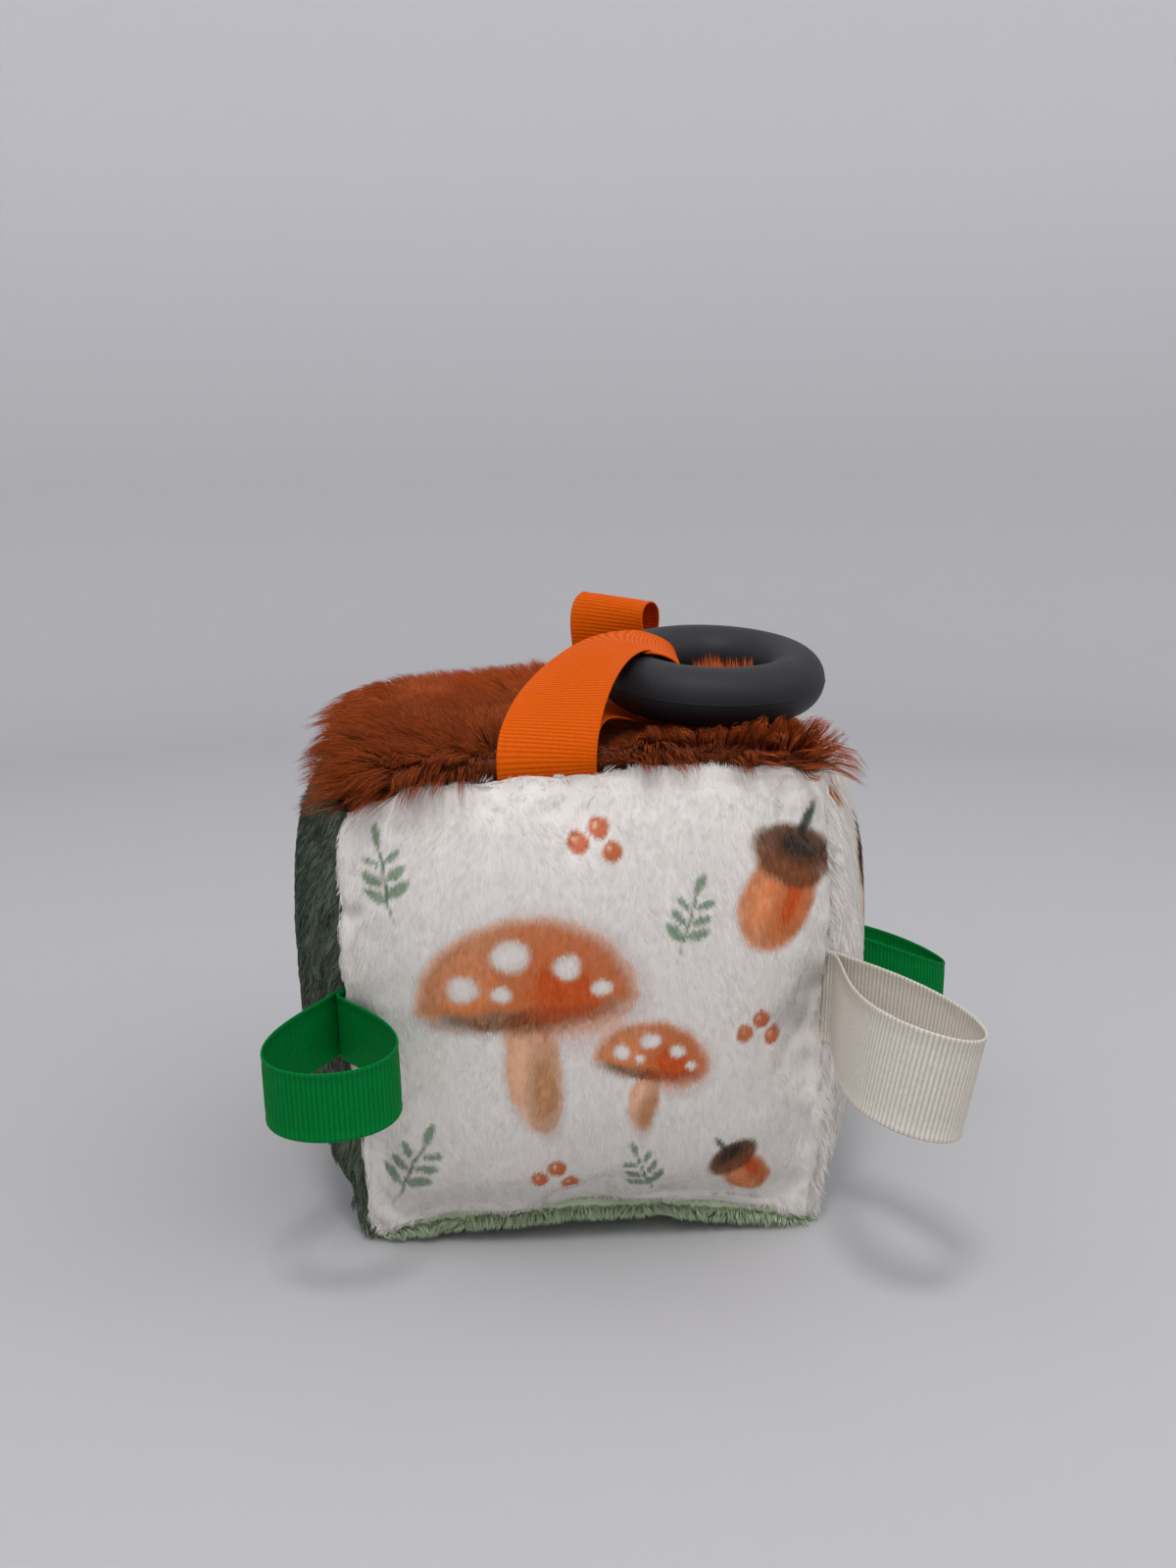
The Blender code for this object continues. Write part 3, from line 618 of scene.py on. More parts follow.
# %% Path of the ring's ribbon
RING_TUBE = 0.014
RING_DIAMETER = 0.055
RING_RADIUS = (RING_DIAMETER - RING_TUBE) / 2
RIBBON_EASE = 0.0006
UPPER_SWING, LOWER_SWING, RING_RIBBON_TURN = 0.012, 0.013, -45.0
BORE_CHORD, BORE_HALF_WIDTH = 0.0074, 0.0106  # the ribbon lies nearly flat where it passes the hole
ring_middle = Vector(joints["teething_ring_turn"]["pos_m"])
RING_LEAN_RIGHT, RING_LEAN_FORWARD = 1.5, 8.0  # degrees
HUG_STEPS, LEAF_STEPS = 30, 40
ring_lean = (
    Matrix.Rotation(math.radians(RING_LEAN_RIGHT), 3, "Y")
    @ Matrix.Rotation(math.radians(RING_LEAN_FORWARD), 3, "X")
)


def hug_rows(steps):
    """Rows that go from the tube's top through the ring's hole to below the tube."""
    reach = RING_TUBE / 2 + RIBBON_EASE + RIBBON_THICKNESS / 2
    rows = []
    for around in np.linspace(0, math.pi, steps + 1):
        row = []
        for share in np.linspace(-0.5, 0.5, RIBBON_COLUMNS):
            spread = math.asin(share * WIDE_RIBBON / RING_RADIUS)
            arm = Vector((-math.cos(spread), -math.sin(spread), 0)) * (RING_RADIUS - reach * math.sin(around))
            chord = Vector((-BORE_CHORD, -2 * share * BORE_HALF_WIDTH, 0))
            arm = arm.lerp(chord, math.sin(around) ** 2)
            arm.z = reach * math.cos(around)
            row.append(ring_middle + ring_lean @ arm)
        rows.append(np.array(row))
    return rows


def leaf_rows(root, way, across, tip_row, tip_way, swing, steps):
    """A leaf between seam and tube, which turns a quarter round on its way."""
    tip = Vector(tip_row[len(tip_row) // 2])
    tip_across = Vector(tip_row[-1] - tip_row[0]).normalized()
    rows = []
    for share in np.arange(steps) / steps:
        rest = 1 - share
        point = (
            root * (rest ** 3 + 3 * rest ** 2 * share) + way * (3 * rest ** 2 * share * swing)
            + tip * (share ** 3 + 3 * share ** 2 * rest) - tip_way * (3 * share ** 2 * rest * swing)
        )
        heading = (
            (way * (rest ** 2 - 2 * rest * share) + tip_way * (share ** 2 - 2 * rest * share)) * swing
            + (tip - root) * (2 * rest * share)
        ).normalized()
        turned = across.lerp(tip_across, share * share * (3 - 2 * share))
        turned = (turned - heading * turned.dot(heading)).normalized()
        row = []
        for across_share, end in zip(np.linspace(-0.5, 0.5, RIBBON_COLUMNS), tip_row):
            side = across_share * WIDE_RIBBON
            bent = (Vector(end) - tip) - tip_across * side
            row.append(point + turned * side + bent * share ** 3)
        rows.append(np.array(row))
    return rows


def ring_ribbon_rows():
    """Up from the seam, over the ring's left side, through the ring and back under it."""
    place = seam_places["ring_ribbon"]
    hug = hug_rows(HUG_STEPS)
    inward = ring_lean @ Vector((1, 0, 0))
    way = Matrix.Rotation(math.radians(RING_RIBBON_TURN), 3, place.along) @ place.out
    ply = (RIBBON_THICKNESS + PLY_GAP) / 2
    apart = place.along.cross(way) * ply
    root = place.hinge + way * RIBBON_THICKNESS
    upper = leaf_rows(root + apart, way, place.along, hug[0], inward, UPPER_SWING, LEAF_STEPS)
    lower = leaf_rows(root - apart, way, place.along, hug[-1], inward, LOWER_SWING, LEAF_STEPS)
    near, far = sewn_rows(place, WIDE_RIBBON, 1, ply), sewn_rows(place, WIDE_RIBBON, -1, ply)
    return np.array(near + upper + hug + lower[::-1] + far[::-1])


print("ring ribbon rows:", len(ring_ribbon_rows()))


# %% Weave a ribbon along its path
RIB_PITCH = 0.00105
STEPS_A_RIB = 6
EDGE_STEPS = (0.0, 0.00025, 0.00055, 0.00085, 0.00110)  # columns of the beaded edge
INNER_COLUMNS = 5
RIB_POWER = 0.8  # under 1, a rib is broad and its valleys narrow
VALLEY_SHARE, BEAD_SHARE, BORDER_SHARE, GUTTER_SHARE = 0.30, 0.78, 0.35, 0.45  # of the thickness
BEND_EASE = 0.0025  # how far each side of the seam's mouth the path is rounded


def even_rows(rows, step):
    """The same path with its rows at equal steps."""
    middle = rows[:, rows.shape[1] // 2]
    lengths = np.concatenate(([0], np.cumsum(np.linalg.norm(np.diff(middle, axis=0), axis=1))))
    count = max(int(lengths[-1] / step), 2)
    wanted = np.linspace(0, lengths[-1], count + 1)
    found = [np.interp(wanted, lengths, column) for column in rows.reshape(len(rows), -1).T]
    return np.stack(found, axis=1).reshape(count + 1, rows.shape[1], 3), wanted


def eased_rows(rows, step, hinge):
    """Rounds the path where it turns at the mouth of the seam."""
    middle = rows[:, rows.shape[1] // 2]
    near = np.linalg.norm(middle - np.array(hinge), axis=1)
    weight = np.clip(1.6 - near / (2 * BEND_EASE), 0, 1)[:, None, None]
    for _ in range(int((BEND_EASE / step) ** 2 / 2)):
        mean = rows.copy()
        mean[1:-1] = (rows[:-2] + 2 * rows[1:-1] + rows[2:]) / 4
        rows = rows + (mean - rows) * weight
    return rows


def weave_ribbon(name, rows, width, hinge, finish):
    """A ribbon with ribs and beaded edges along a path: the object and its flat length."""
    step = RIB_PITCH / STEPS_A_RIB
    rows, _ = even_rows(rows, step)
    rows, along = even_rows(eased_rows(rows, step, hinge), step)
    edge = np.array(EDGE_STEPS)
    inner = np.linspace(edge[-1], width - edge[-1], INNER_COLUMNS + 2)[1:-1]
    across = np.concatenate((edge, inner, width - edge[::-1]))
    share = across / width * (rows.shape[1] - 1)
    low = np.clip(share.astype(int), 0, rows.shape[1] - 2)
    part = (share - low)[None, :, None]
    rows = rows[:, low] * (1 - part) + rows[:, low + 1] * part
    ways = np.gradient(rows, axis=0)
    spans = np.gradient(rows, axis=1)
    normals = unit(np.cross(spans, ways))
    rib = np.abs(np.sin(np.pi * along / RIB_PITCH)) ** RIB_POWER
    bead = np.abs(np.sin(2 * np.pi * along / RIB_PITCH))
    from_edge = np.minimum(across, width - across)
    in_bead = np.isin(np.round(from_edge, 6), np.round(edge[1:4], 6))
    half = (VALLEY_SHARE + (1 - VALLEY_SHARE) * rib)[:, None] * np.ones_like(across)[None, :]
    half[:, in_bead] = (BEAD_SHARE + (1 - BEAD_SHARE) * bead)[:, None]
    half[:, from_edge < edge[1] / 2] = BORDER_SHARE
    half[:, np.abs(from_edge - edge[4]) < 1e-6] = GUTTER_SHARE
    half *= RIBBON_THICKNESS / 2
    upper, lower = rows + normals * half[..., None], rows - normals * half[..., None]
    loop = np.concatenate((upper, lower[:, ::-1]), axis=1)
    count, section = loop.shape[:2]
    row_start = (np.arange(count - 1) * section)[:, None]
    place = np.arange(section)[None, :]
    following = (place + 1) % section
    quads = np.stack((
        row_start + place, row_start + following,
        row_start + section + following, row_start + section + place,
    ), axis=-1).reshape(-1, 4)
    wide = len(across)
    caps = [
        (start + column, start + column + 1, start + section - 2 - column, start + section - 1 - column)
        for start in (0, (count - 1) * section) for column in range(wide - 1)
    ]
    ribbon = add_object(name, loop.reshape(-1, 3), np.concatenate((quads, np.array(caps))))
    mesh = ribbon.data
    weave = mesh.attributes.new("weave", "FLOAT_VECTOR", "POINT")
    both = np.concatenate((across, across[::-1]))
    values = np.stack(np.broadcast_arrays(both[None, :], along[:, None], 0.0), axis=-1)
    weave.data.foreach_set("vector", values.reshape(-1).astype(np.float32))
    mesh.materials.append(finish)
    form = bmesh.new()
    form.from_mesh(mesh)
    bmesh.ops.recalc_face_normals(form, faces=form.faces)
    form.to_mesh(mesh)
    form.free()
    near, far = rows[::3, :-1], rows[::3, 1:]
    sampled = [near * (1 - part) + far * part for part in (0, 1 / 3, 2 / 3, 1)]
    ribbon_samples.append(np.concatenate(sampled, axis=1).reshape(-1, 3))
    print(name, "length:", round(float(along[-1]) * 1000, 1), "mm, ribs:", int(along[-1] / RIB_PITCH))
    return ribbon, float(along[-1])


# %% Grosgrain finish
# painted shade in the grooves between the ribs, and painted light on the rib tops
GROOVE_SHADE, RIB_TOP_LIGHT = 0.70, 1.08  # tint of the grooves between the ribs, and of their tops


def grosgrain(name, colour):
    """Fine threads and slubs along the ribbon, with painted shade in the grooves and painted light on the rib
    tops.
    """
    finish, shader, add, join = new_finish(name, {"Roughness": 0.5, "Specular IOR Level": 0.05})
    weave, along = add("Attribute", attribute_name="weave"), add("SeparateXYZ")
    threads = add("TexWave", {"Scale": 560, "Distortion": 0.6, "Detail": 2}, bands_direction="X")
    slubs = add("TexNoise", {"Scale": 900, "Detail": 3})
    spread = add("MapRange", {"To Min": 0.82, "To Max": 1.1})
    turns = add("Math", {1: math.pi / RIB_PITCH}, operation="MULTIPLY")
    wave, height = add("Math", operation="SINE"), add("Math", operation="ABSOLUTE")
    # painted shade and light: the tint is darkest in each groove and lightest on each rib top
    groove_shade = add("MapRange", {"To Min": GROOVE_SHADE, "To Max": RIB_TOP_LIGHT})
    both = add("Math", operation="MULTIPLY")
    tint = add("VectorMath", operation="SCALE")
    tint.inputs[0].default_value = colour
    bump = add("Bump", {"Strength": 0.35, "Distance": 0.0001})
    join(
        (weave, "Vector", threads, "Vector"), (weave, "Vector", slubs, "Vector"),
        (weave, "Vector", along, "Vector"), (slubs, "Fac", spread, "Value"),
        (along, "Y", turns, 0), (turns, "Value", wave, 0), (wave, "Value", height, 0),
        (height, "Value", groove_shade, "Value"), (spread, "Result", both, 0), (groove_shade, "Result", both, 1),
        (both, "Value", tint, "Scale"), (tint, "Vector", shader, "Base Color"),
        (threads, "Fac", bump, "Height"), (bump, "Normal", shader, "Normal"),
    )
    return finish


orange_grosgrain = grosgrain("orange grosgrain", ORANGE)
green_grosgrain = grosgrain("green grosgrain", LEAF_GREEN)
cream_grosgrain = grosgrain("cream grosgrain", CREAM)

# %% Weave the five ribbons
RIBBON_FINISHES = {
    "ring_ribbon": orange_grosgrain, "rear_loop": orange_grosgrain, "left_loop": green_grosgrain,
    "right_loop": cream_grosgrain, "right_rear_loop": green_grosgrain,
}
ribbon_samples, ribbons, ribbon_cuts = [], {}, {}
for name, place in seam_places.items():
    rows = ring_ribbon_rows() if name == "ring_ribbon" else loop_rows(name)
    width = WIDE_RIBBON if name == "ring_ribbon" else LOOPS[name][0]
    ribbons[name], length = weave_ribbon("grosgrain_" + name, rows, width, place.hinge, RIBBON_FINISHES[name])
    ribbon_cuts[name] = (width, length)

# %% [markdown]
# ## The silicone ring
#
# A teething ring is cast in a two-part mould, so a hair-thin parting line runs round its
# outside. The ring is turned from one circle of points, with a few extra points where the
# line stands up. Silicone is matte and gathers dust, so its roughness varies a little and
# pale specks are scattered over it.

# %% Turn the ring
RING_STEPS, TUBE_STEPS = 160, 48
PARTING_RISE, PARTING_HALF = 0.00012, 0.022
DUST = screen(120, 118, 116)


def turned_ring():
    angles = np.concatenate((
        np.linspace(PARTING_HALF * 2, 2 * math.pi - PARTING_HALF * 2, TUBE_STEPS),
        (-PARTING_HALF, 0.0, PARTING_HALF),
    ))
    points = []
    for step in range(RING_STEPS):
        turn = 2 * math.pi * step / RING_STEPS
        outward = Vector((math.cos(turn), math.sin(turn), 0))
        for around in angles:
            rise = PARTING_RISE if around == 0 else 0
            arm = outward * (RING_RADIUS + (RING_TUBE / 2 + rise) * math.cos(around))
            arm.z = (RING_TUBE / 2 + rise) * math.sin(around)
            points.append(ring_middle + ring_lean @ arm)
    numbers = np.arange(len(points)).reshape(RING_STEPS, len(angles))
    following, beside = np.roll(numbers, -1, axis=0), np.roll(numbers, -1, axis=1)
    faces = np.stack((numbers, following, np.roll(following, -1, axis=1), beside), axis=-1).reshape(-1, 4)
    return add_object("silicone_ring", points, faces)


def silicone(name, colour):
    """Matte, cloudy in its roughness, with a few pale specks of dust."""
    finish, shader, add, join = new_finish(name, {"Specular IOR Level": 0.4})
    place = add("TexCoord")
    cloudy, dull = add("TexNoise", {"Scale": 60}), add("MapRange", {"To Min": 0.50, "To Max": 0.66})
    dust, speck = add("TexVoronoi", {"Scale": 420}), add("MapRange", {"From Min": 0.10, "From Max": 0.04})
    few, rare = add("TexNoise", {"Scale": 240}), add("MapRange", {"From Min": 0.60, "From Max": 0.70})
    both = add("Math", operation="MULTIPLY")
    mixed = add("Mix", {"A": (*colour, 1), "B": (*DUST, 1)}, data_type="RGBA")
    join(
        *((place, "Object", texture, "Vector") for texture in (cloudy, dust, few)),
        (cloudy, "Fac", dull, "Value"), (dull, "Result", shader, "Roughness"),
        (dust, "Distance", speck, "Value"), (few, "Fac", rare, "Value"),
        (speck, "Result", both, 0), (rare, "Result", both, 1),
        (both, "Value", mixed, "Factor"), (mixed, "Result", shader, "Base Color"),
    )
    return finish


ring = turned_ring()
ring.data.materials.append(silicone("charcoal silicone", CHARCOAL))
print("ring points:", len(ring.data.vertices))

# %% [markdown]
# ## Pile, hair by hair
#
# Fur and plush look soft because thousands of hairs break up their outline. A particle
# system could grow them, but its hairs aren't part of a mesh. Here each hair is a closed
# spike of a few triangles, made in numpy all at once, so a whole pelt is one light mesh.
# Hairs don't stand evenly. They bunch into locks, and each lock is drawn to one tip.
# A hair's colour is picked from a few constant tones, one material slot each.

# %% Grow roots on a square
NOISE_SEED = 1796000708
noise.seed_set(NOISE_SEED)  # any fixed number will do, but with none noise_vector differs at each run


def sprout(name, count, seed, margin_rows=1):
    """Random roots spread evenly over a square: (points, normals, the random source)."""
    random = np.random.default_rng(seed)
    grid = grids[name][margin_rows:GRID - margin_rows, margin_rows:GRID - margin_rows]
    right_edge, up_edge = grid[:-1, 1:] - grid[:-1, :-1], grid[1:, :-1] - grid[:-1, :-1]
    crossed = np.cross(right_edge, up_edge)
    areas = np.linalg.norm(crossed, axis=-1)
    facing = crossed / areas[..., None]
    cell = random.choice(areas.size, size=count, p=(areas / areas.sum()).ravel())
    row, column = np.unravel_index(cell, areas.shape)
    a, u = random.random(count)[:, None], random.random(count)[:, None]
    roots = (
        grid[row, column] * (1 - a) * (1 - u) + grid[row, column + 1] * a * (1 - u)
        + grid[row + 1, column] * (1 - a) * u + grid[row + 1, column + 1] * a * u
    )
    return handmade(roots, facing[row, column]), facing[row, column], random


def drift(points, pitch, seed):
    """Smoothly wandering vectors, one for each point."""
    shift = Vector((seed * 7.1, seed * 3.7, seed * 1.9))
    return np.array([noise.noise_vector(Vector(point / pitch) + shift) for point in points])


def nearest_lock(roots, lock_width, random):
    """For each root, the number of the lock that it belongs to, and the locks' own roots."""
    spread = np.ptp(roots, axis=0)
    area = np.sort(spread)[1] * np.sort(spread)[2]
    count = max(int(area / lock_width ** 2), 1)
    chosen = random.choice(len(roots), size=min(count, len(roots)), replace=False)
    tree = kdtree.KDTree(len(chosen))
    for number, index in enumerate(chosen):
        tree.insert(roots[index], number)
    tree.balance()
    return np.array([tree.find(root)[1] for root in roots]), chosen


# %% Turn hair paths into one mesh
TAPER_POWER = 0.7  # under 1, a hair keeps its width for longer


def hair_mesh(name, paths, root_radius, tones, finishes, facing=None):
    """Closed three-sided spikes along paths of shape (hairs, steps, 3), a tone for each step.

    With facing, a way for each hair, one flat side of each spike looks that way, as in brushed pile.
    """
    hairs, steps = paths.shape[:2]
    heading = unit(paths[:, -1] - paths[:, 0])
    if facing is None:
        helper = np.where(np.abs(heading[:, 2:]) < 0.9, [[0.0, 0.0, 1.0]], [[1.0, 0.0, 0.0]])
        aside = unit(np.cross(heading, helper))
    else:
        outward = unit(facing - heading * (facing * heading).sum(axis=1, keepdims=True))
        aside = outward * math.cos(math.pi / 3) - np.cross(heading, outward) * math.sin(math.pi / 3)
    other = np.cross(heading, aside)
    turn = 2 * np.pi * np.arange(3) / 3
    spokes = np.cos(turn)[None, :, None] * aside[:, None] + np.sin(turn)[None, :, None] * other[:, None]
    radius = root_radius * (1 - np.arange(steps - 1) / (steps - 0.5)) ** TAPER_POWER
    corners = paths[:, :-1, None] + spokes[:, None] * radius[None, :, None, None]
    points = np.concatenate((corners.reshape(hairs, -1, 3), paths[:, -1:]), axis=1)
    triangles, of_step = [(0, 2, 1)], [0]
    for step in range(steps - 2):
        for side in range(3):
            low, next_low = 3 * step + side, 3 * step + (side + 1) % 3
            triangles += [(low, next_low, next_low + 3), (low, next_low + 3, low + 3)]
            of_step += [step, step]
    top, tip = 3 * (steps - 2), 3 * (steps - 1)
    triangles += [(top + side, top + (side + 1) % 3, tip) for side in range(3)]
    of_step += [steps - 2] * 3
    if tones.ndim == 1:
        tones = np.repeat(tones[:, None], steps - 1, axis=1)
    per_hair = 3 * (steps - 1) + 1
    faces = np.array(triangles)[None] + (np.arange(hairs) * per_hair)[:, None, None]
    pelt = add_object(name, points.reshape(-1, 3), faces.reshape(-1, 3), smooth=facing is None)
    pelt.data.polygons.foreach_set("material_index", tones[:, of_step].ravel().astype(np.int32))
    for finish in finishes:
        pelt.data.materials.append(finish)
    print(name, "hairs:", hairs, "triangles:", len(pelt.data.polygons))
    return pelt


# %% [markdown]
# ## Fibre and cloth finishes
#
# Plush has no gloss, but light catches it at a glancing angle, so the cloth under the
# hairs has a little of the shader's sheen. It also gets a fine streaky bump, drawn out
# along the way that the pile is combed. The hair tones are plain colours, lighter and
# darker shares of one colour, with almost no highlight, or the white studio would grey them.
# On the short pile they vary at random. On the fur they are painted light and shade: darker
# at the roots and where the fur lies flat, lighter at the tips and where it stands up.

# %% Hair tones
def shade(colour, amount):
    """A darker (under 1) or lighter (over 1) tone of a colour."""
    return tuple(min(part * amount, 1.0) for part in colour)


def fibre(name, colour):
    values = {"Base Color": (*colour, 1), "Roughness": 0.8, "Specular IOR Level": 0.12}
    return new_finish(name, values)[0]


def tones_of(name, colour, shares):
    return [fibre(f"{name} {number}", shade(colour, share)) for number, share in enumerate(shares)]


# the rust tones are lit and shaded copies of one colour, for painted light and shade on the fur
RUST_SHARES = (0.28, 0.5, 0.75, 1.0, 1.35, 1.8)
MOSS_SHARES = (0.55, 0.8, 1.05, 1.4)
SAGE_SHARES = (0.8, 1.0, 1.15, 1.3)
rust_tones = tones_of("rust fur", RUST, RUST_SHARES)
moss_tones = tones_of("moss pile", MOSS, MOSS_SHARES)
sage_tones = tones_of("sage pile", SAGE, SAGE_SHARES)
print("hair tones:", len(rust_tones) + len(moss_tones) + len(sage_tones))


# %% Plush cloth
def plush_cloth(name, colour, combed=(1, 1, 0.3), painted=False):
    """Cloth under the pile: streaks of light and dark, drawn out along the combed way."""
    values = {"Roughness": 0.9, "Specular IOR Level": 0.2, "Sheen Weight": 0.15, "Sheen Roughness": 0.4}
    finish, shader, add, join = new_finish(name, values)
    place, comb = add("TexCoord"), add("Mapping", {"Scale": combed})
    streaks = add("TexNoise", {"Scale": 1100, "Detail": 4})
    clumps = add("TexNoise", {"Scale": 260, "Detail": 3})
    spread = add("MapRange", {"To Min": 0.86, "To Max": 1.08})
    tint = add("VectorMath", operation="SCALE")
    bump = add("Bump", {"Strength": 0.4, "Distance": 0.0005})
    if painted:
        join((add("VertexColor", layer_name="print"), "Color", tint, 0))
    else:
        tint.inputs[0].default_value = colour
    join(
        (place, "Object", comb, "Vector"), (comb, "Vector", streaks, "Vector"),
        (comb, "Vector", clumps, "Vector"), (clumps, "Fac", spread, "Value"),
        (spread, "Result", tint, "Scale"), (tint, "Vector", shader, "Base Color"),
        (streaks, "Fac", bump, "Height"), (bump, "Normal", shader, "Normal"),
    )
    return finish


cloths = {
    "front": plush_cloth("ivory plush front", IVORY, painted=True),
    "right": plush_cloth("ivory plush right", IVORY, painted=True),
    "left": plush_cloth("moss plush left", MOSS),
    "back": plush_cloth("moss plush back", MOSS),
    "top": plush_cloth("rust fur backing", shade(RUST, 0.4), combed=(1, 1, 1)),
    "bottom": plush_cloth("sage plush", SAGE, combed=(1, 1, 1)),
}
for name, square in plush.items():
    square.data.materials.append(cloths[name])
print("cloths:", len(cloths))

# %% [markdown]
# ## A generic print for the ivory plush
#
# The ivory plush carries a loose watercolour print. This one is generic: toadstools,
# acorns, berries and leafy sprigs in orange, brown and sage. Each motif is a handful of
# soft oval dabs, painted in order like brush strokes, on a square that is measured in
# millimetres. The dabs are computed for every point of the cloth and stored as a colour
# attribute, and each hair of the pile picks the same colours halfway along it.

# %% Dabs of colour
DAB_ORANGE, DAB_DEEP = screen(232, 142, 84), screen(206, 88, 34)
DAB_PEACH, DAB_TAN = screen(240, 188, 150), screen(196, 142, 100)
DAB_BROWN, DAB_DARK = screen(128, 78, 48), screen(62, 52, 46)
DAB_SAGE, DAB_LEAF = screen(136, 158, 132), screen(86, 116, 90)
SPOTS = (
    (-0.26, 0.14, 0.060), (-0.04, 0.27, 0.075), (0.20, 0.20, 0.055), (0.34, 0.09, 0.040),
    (-0.10, 0.10, 0.040),
)
LEAF_PAIRS, LEAF_SIDES = 3, ((-0.16, 0.07, 148), (0.16, 0.12, 32))
BERRIES = ((-0.3, 0.1), (0.05, 0.32), (0.28, -0.05))
MOTIFS = {
    # dabs: right, up, half width, half height, turn in degrees, colour, softness, and where the
    # oval is cut off, the height of the cut. Lengths are shares of the motif's size.
    "toadstool": [
        (0, -0.24, 0.12, 0.30, 0, DAB_PEACH, 0.18), (0.05, -0.36, 0.07, 0.20, 0, DAB_TAN, 0.5),
        (0, 0.02, 0.42, 0.10, 0, DAB_BROWN, 0.25), (0, 0.03, 0.48, 0.40, 0, DAB_ORANGE, 0.08, 0.0),
        (0.18, 0.12, 0.26, 0.20, -30, DAB_DEEP, 0.7),
        *((right, up, 1.2 * spot, spot, 0, IVORY, 0.2) for right, up, spot in SPOTS),
    ],
    "acorn": [
        (0, -0.16, 0.25, 0.34, 0, DAB_ORANGE, 0.10), (0.10, -0.14, 0.10, 0.24, 0, DAB_DEEP, 0.6),
        (0, 0.14, 0.31, 0.19, 0, DAB_BROWN, 0.12), (0.02, 0.20, 0.22, 0.10, 0, DAB_DARK, 0.5),
        (0, 0.38, 0.035, 0.12, 0, DAB_DARK, 0.3),
    ],
    "sprig": [
        (0, 0, 0.022, 0.5, 0, DAB_LEAF, 0.4),
        *(
            (right, -0.28 + 0.62 * pair / LEAF_PAIRS + lift, leaf, 0.42 * leaf, turn, DAB_SAGE, 0.2)
            for pair, leaf in enumerate((0.170, 0.145, 0.120)) for right, lift, turn in LEAF_SIDES
        ),
        (0, 0.52, 0.06, 0.14, 0, DAB_SAGE, 0.25),
    ],
    "berries": [
        dab for right, up in BERRIES for dab in (
            (right, up, 0.17, 0.17, 0, DAB_DEEP, 0.15),
            (right - 0.05, up + 0.05, 0.05, 0.05, 0, DAB_PEACH, 0.4),
        )
    ],
}
WASH_MIDDLE, WASH_FALL = 1.10, 0.28  # paint gathers at a dab's rim
PAINT_COVER, CUT_BLUR = 0.9, 0.1


def paint(colours, places, motif, x, y, size, tilt):
    """Blends one motif's dabs into the colours, in order, as soft ovals."""
    cos, sin = math.cos(math.radians(tilt)), math.sin(math.radians(tilt))
    for right, up, wide, high, turn, colour, soft, *cut in MOTIFS[motif]:
        centre = x + size * (right * cos - up * sin), y + size * (right * sin + up * cos)
        angle = math.radians(tilt + turn)
        over, above = (places - np.array(centre)).T
        along = over * math.cos(angle) + above * math.sin(angle)
        across = -over * math.sin(angle) + above * math.cos(angle)
        far = np.hypot(along / (wide * size), across / (high * size))
        cover = np.clip((1 + soft - far) / (2 * soft), 0, 1)
        for height in cut:
            cover = cover * np.clip((across - height * size) / (CUT_BLUR * high * size) + 0.5, 0, 1)
        wash = WASH_MIDDLE - WASH_FALL * np.clip(far, 0, 1) ** 2
        colours += (np.array(colour) * wash[:, None] - colours) * (PAINT_COVER * cover)[:, None]


print("dabs in each motif:", {motif: len(dabs) for motif, dabs in MOTIFS.items()})

# %% Lay out the print
MM = 0.001
PRINTS = {
    # motif, millimetres right and up from the middle of the square, size, tilt
    "front": (
        ("toadstool", -14, 2, 50, 5), ("toadstool", 13, -12, 27, -10), ("acorn", 44, 30, 34, -24),
        ("acorn", 34, -38, 20, 35), ("sprig", -44, 32, 17, 10), ("sprig", 22, 22, 16, -18),
        ("sprig", -40, -36, 19, -24), ("berries", 2, 38, 13, 0), ("berries", 38, -6, 12, 0),
        ("berries", -8, -40, 12, 0), ("sprig", 12, -38, 14, 20),
    ),
    "right": (
        ("acorn", -30, 22, 36, 14), ("toadstool", 20, -16, 44, -8), ("sprig", -36, -28, 18, -20),
        ("sprig", 14, 34, 18, 24), ("berries", -8, -40, 9, 0), ("toadstool", 50, 38, 30, 10),
        ("sprig", 44, 4, 14, 0), ("berries", -48, 44, 9, 0),
    ),
}
WOBBLE, WOBBLE_PITCH = 0.0006, 0.0045


def printed(name, points):
    """The print's colours at points of a square."""
    across, up = (np.array(side, float) for side in SQUARES[name][:2])
    offset = points - cube_middle
    places = np.stack((offset @ across, offset @ up), axis=1)
    places = places + drift(points, WOBBLE_PITCH, 3)[:, :2] * WOBBLE
    colours = np.tile(IVORY, (len(points), 1))
    for motif, x, y, size, tilt in PRINTS[name]:
        paint(colours, places, motif, x * MM, y * MM, size * MM, tilt)
    return colours


for name in PRINTS:
    mesh = plush[name].data
    points = mesh_points(mesh)
    layer = mesh.color_attributes.new("print", "FLOAT_COLOR", "POINT")
    rgba = np.ones((len(points), 4), np.float32)
    rgba[:, :3] = printed(name, points)
    layer.data.foreach_set("color", rgba.ravel())
    print(name, "print:", dict(Counter(row[0] for row in PRINTS[name])))

# %% Tones of the printed hairs
IVORY_SHARES = (0.92, 0.97, 1.02, 1.07)
DYE_SHARES, STRAY_SHARES = (0.85, 1.10), (0.94, 1.07)
DYES = {
    "orange": DAB_ORANGE, "deep": DAB_DEEP, "peach": DAB_PEACH, "tan": DAB_TAN,
    "brown": DAB_BROWN, "dark": DAB_DARK, "sage": DAB_SAGE, "leaf": DAB_LEAF,
}
print_tones = tones_of("ivory pile", IVORY, IVORY_SHARES)
print_colours = [shade(IVORY, share) for share in IVORY_SHARES]
for name, dye in DYES.items():
    print_tones += tones_of(name + " pile", dye, DYE_SHARES)
    print_colours += [shade(dye, share) for share in DYE_SHARES]
print_colours = np.array(print_colours)


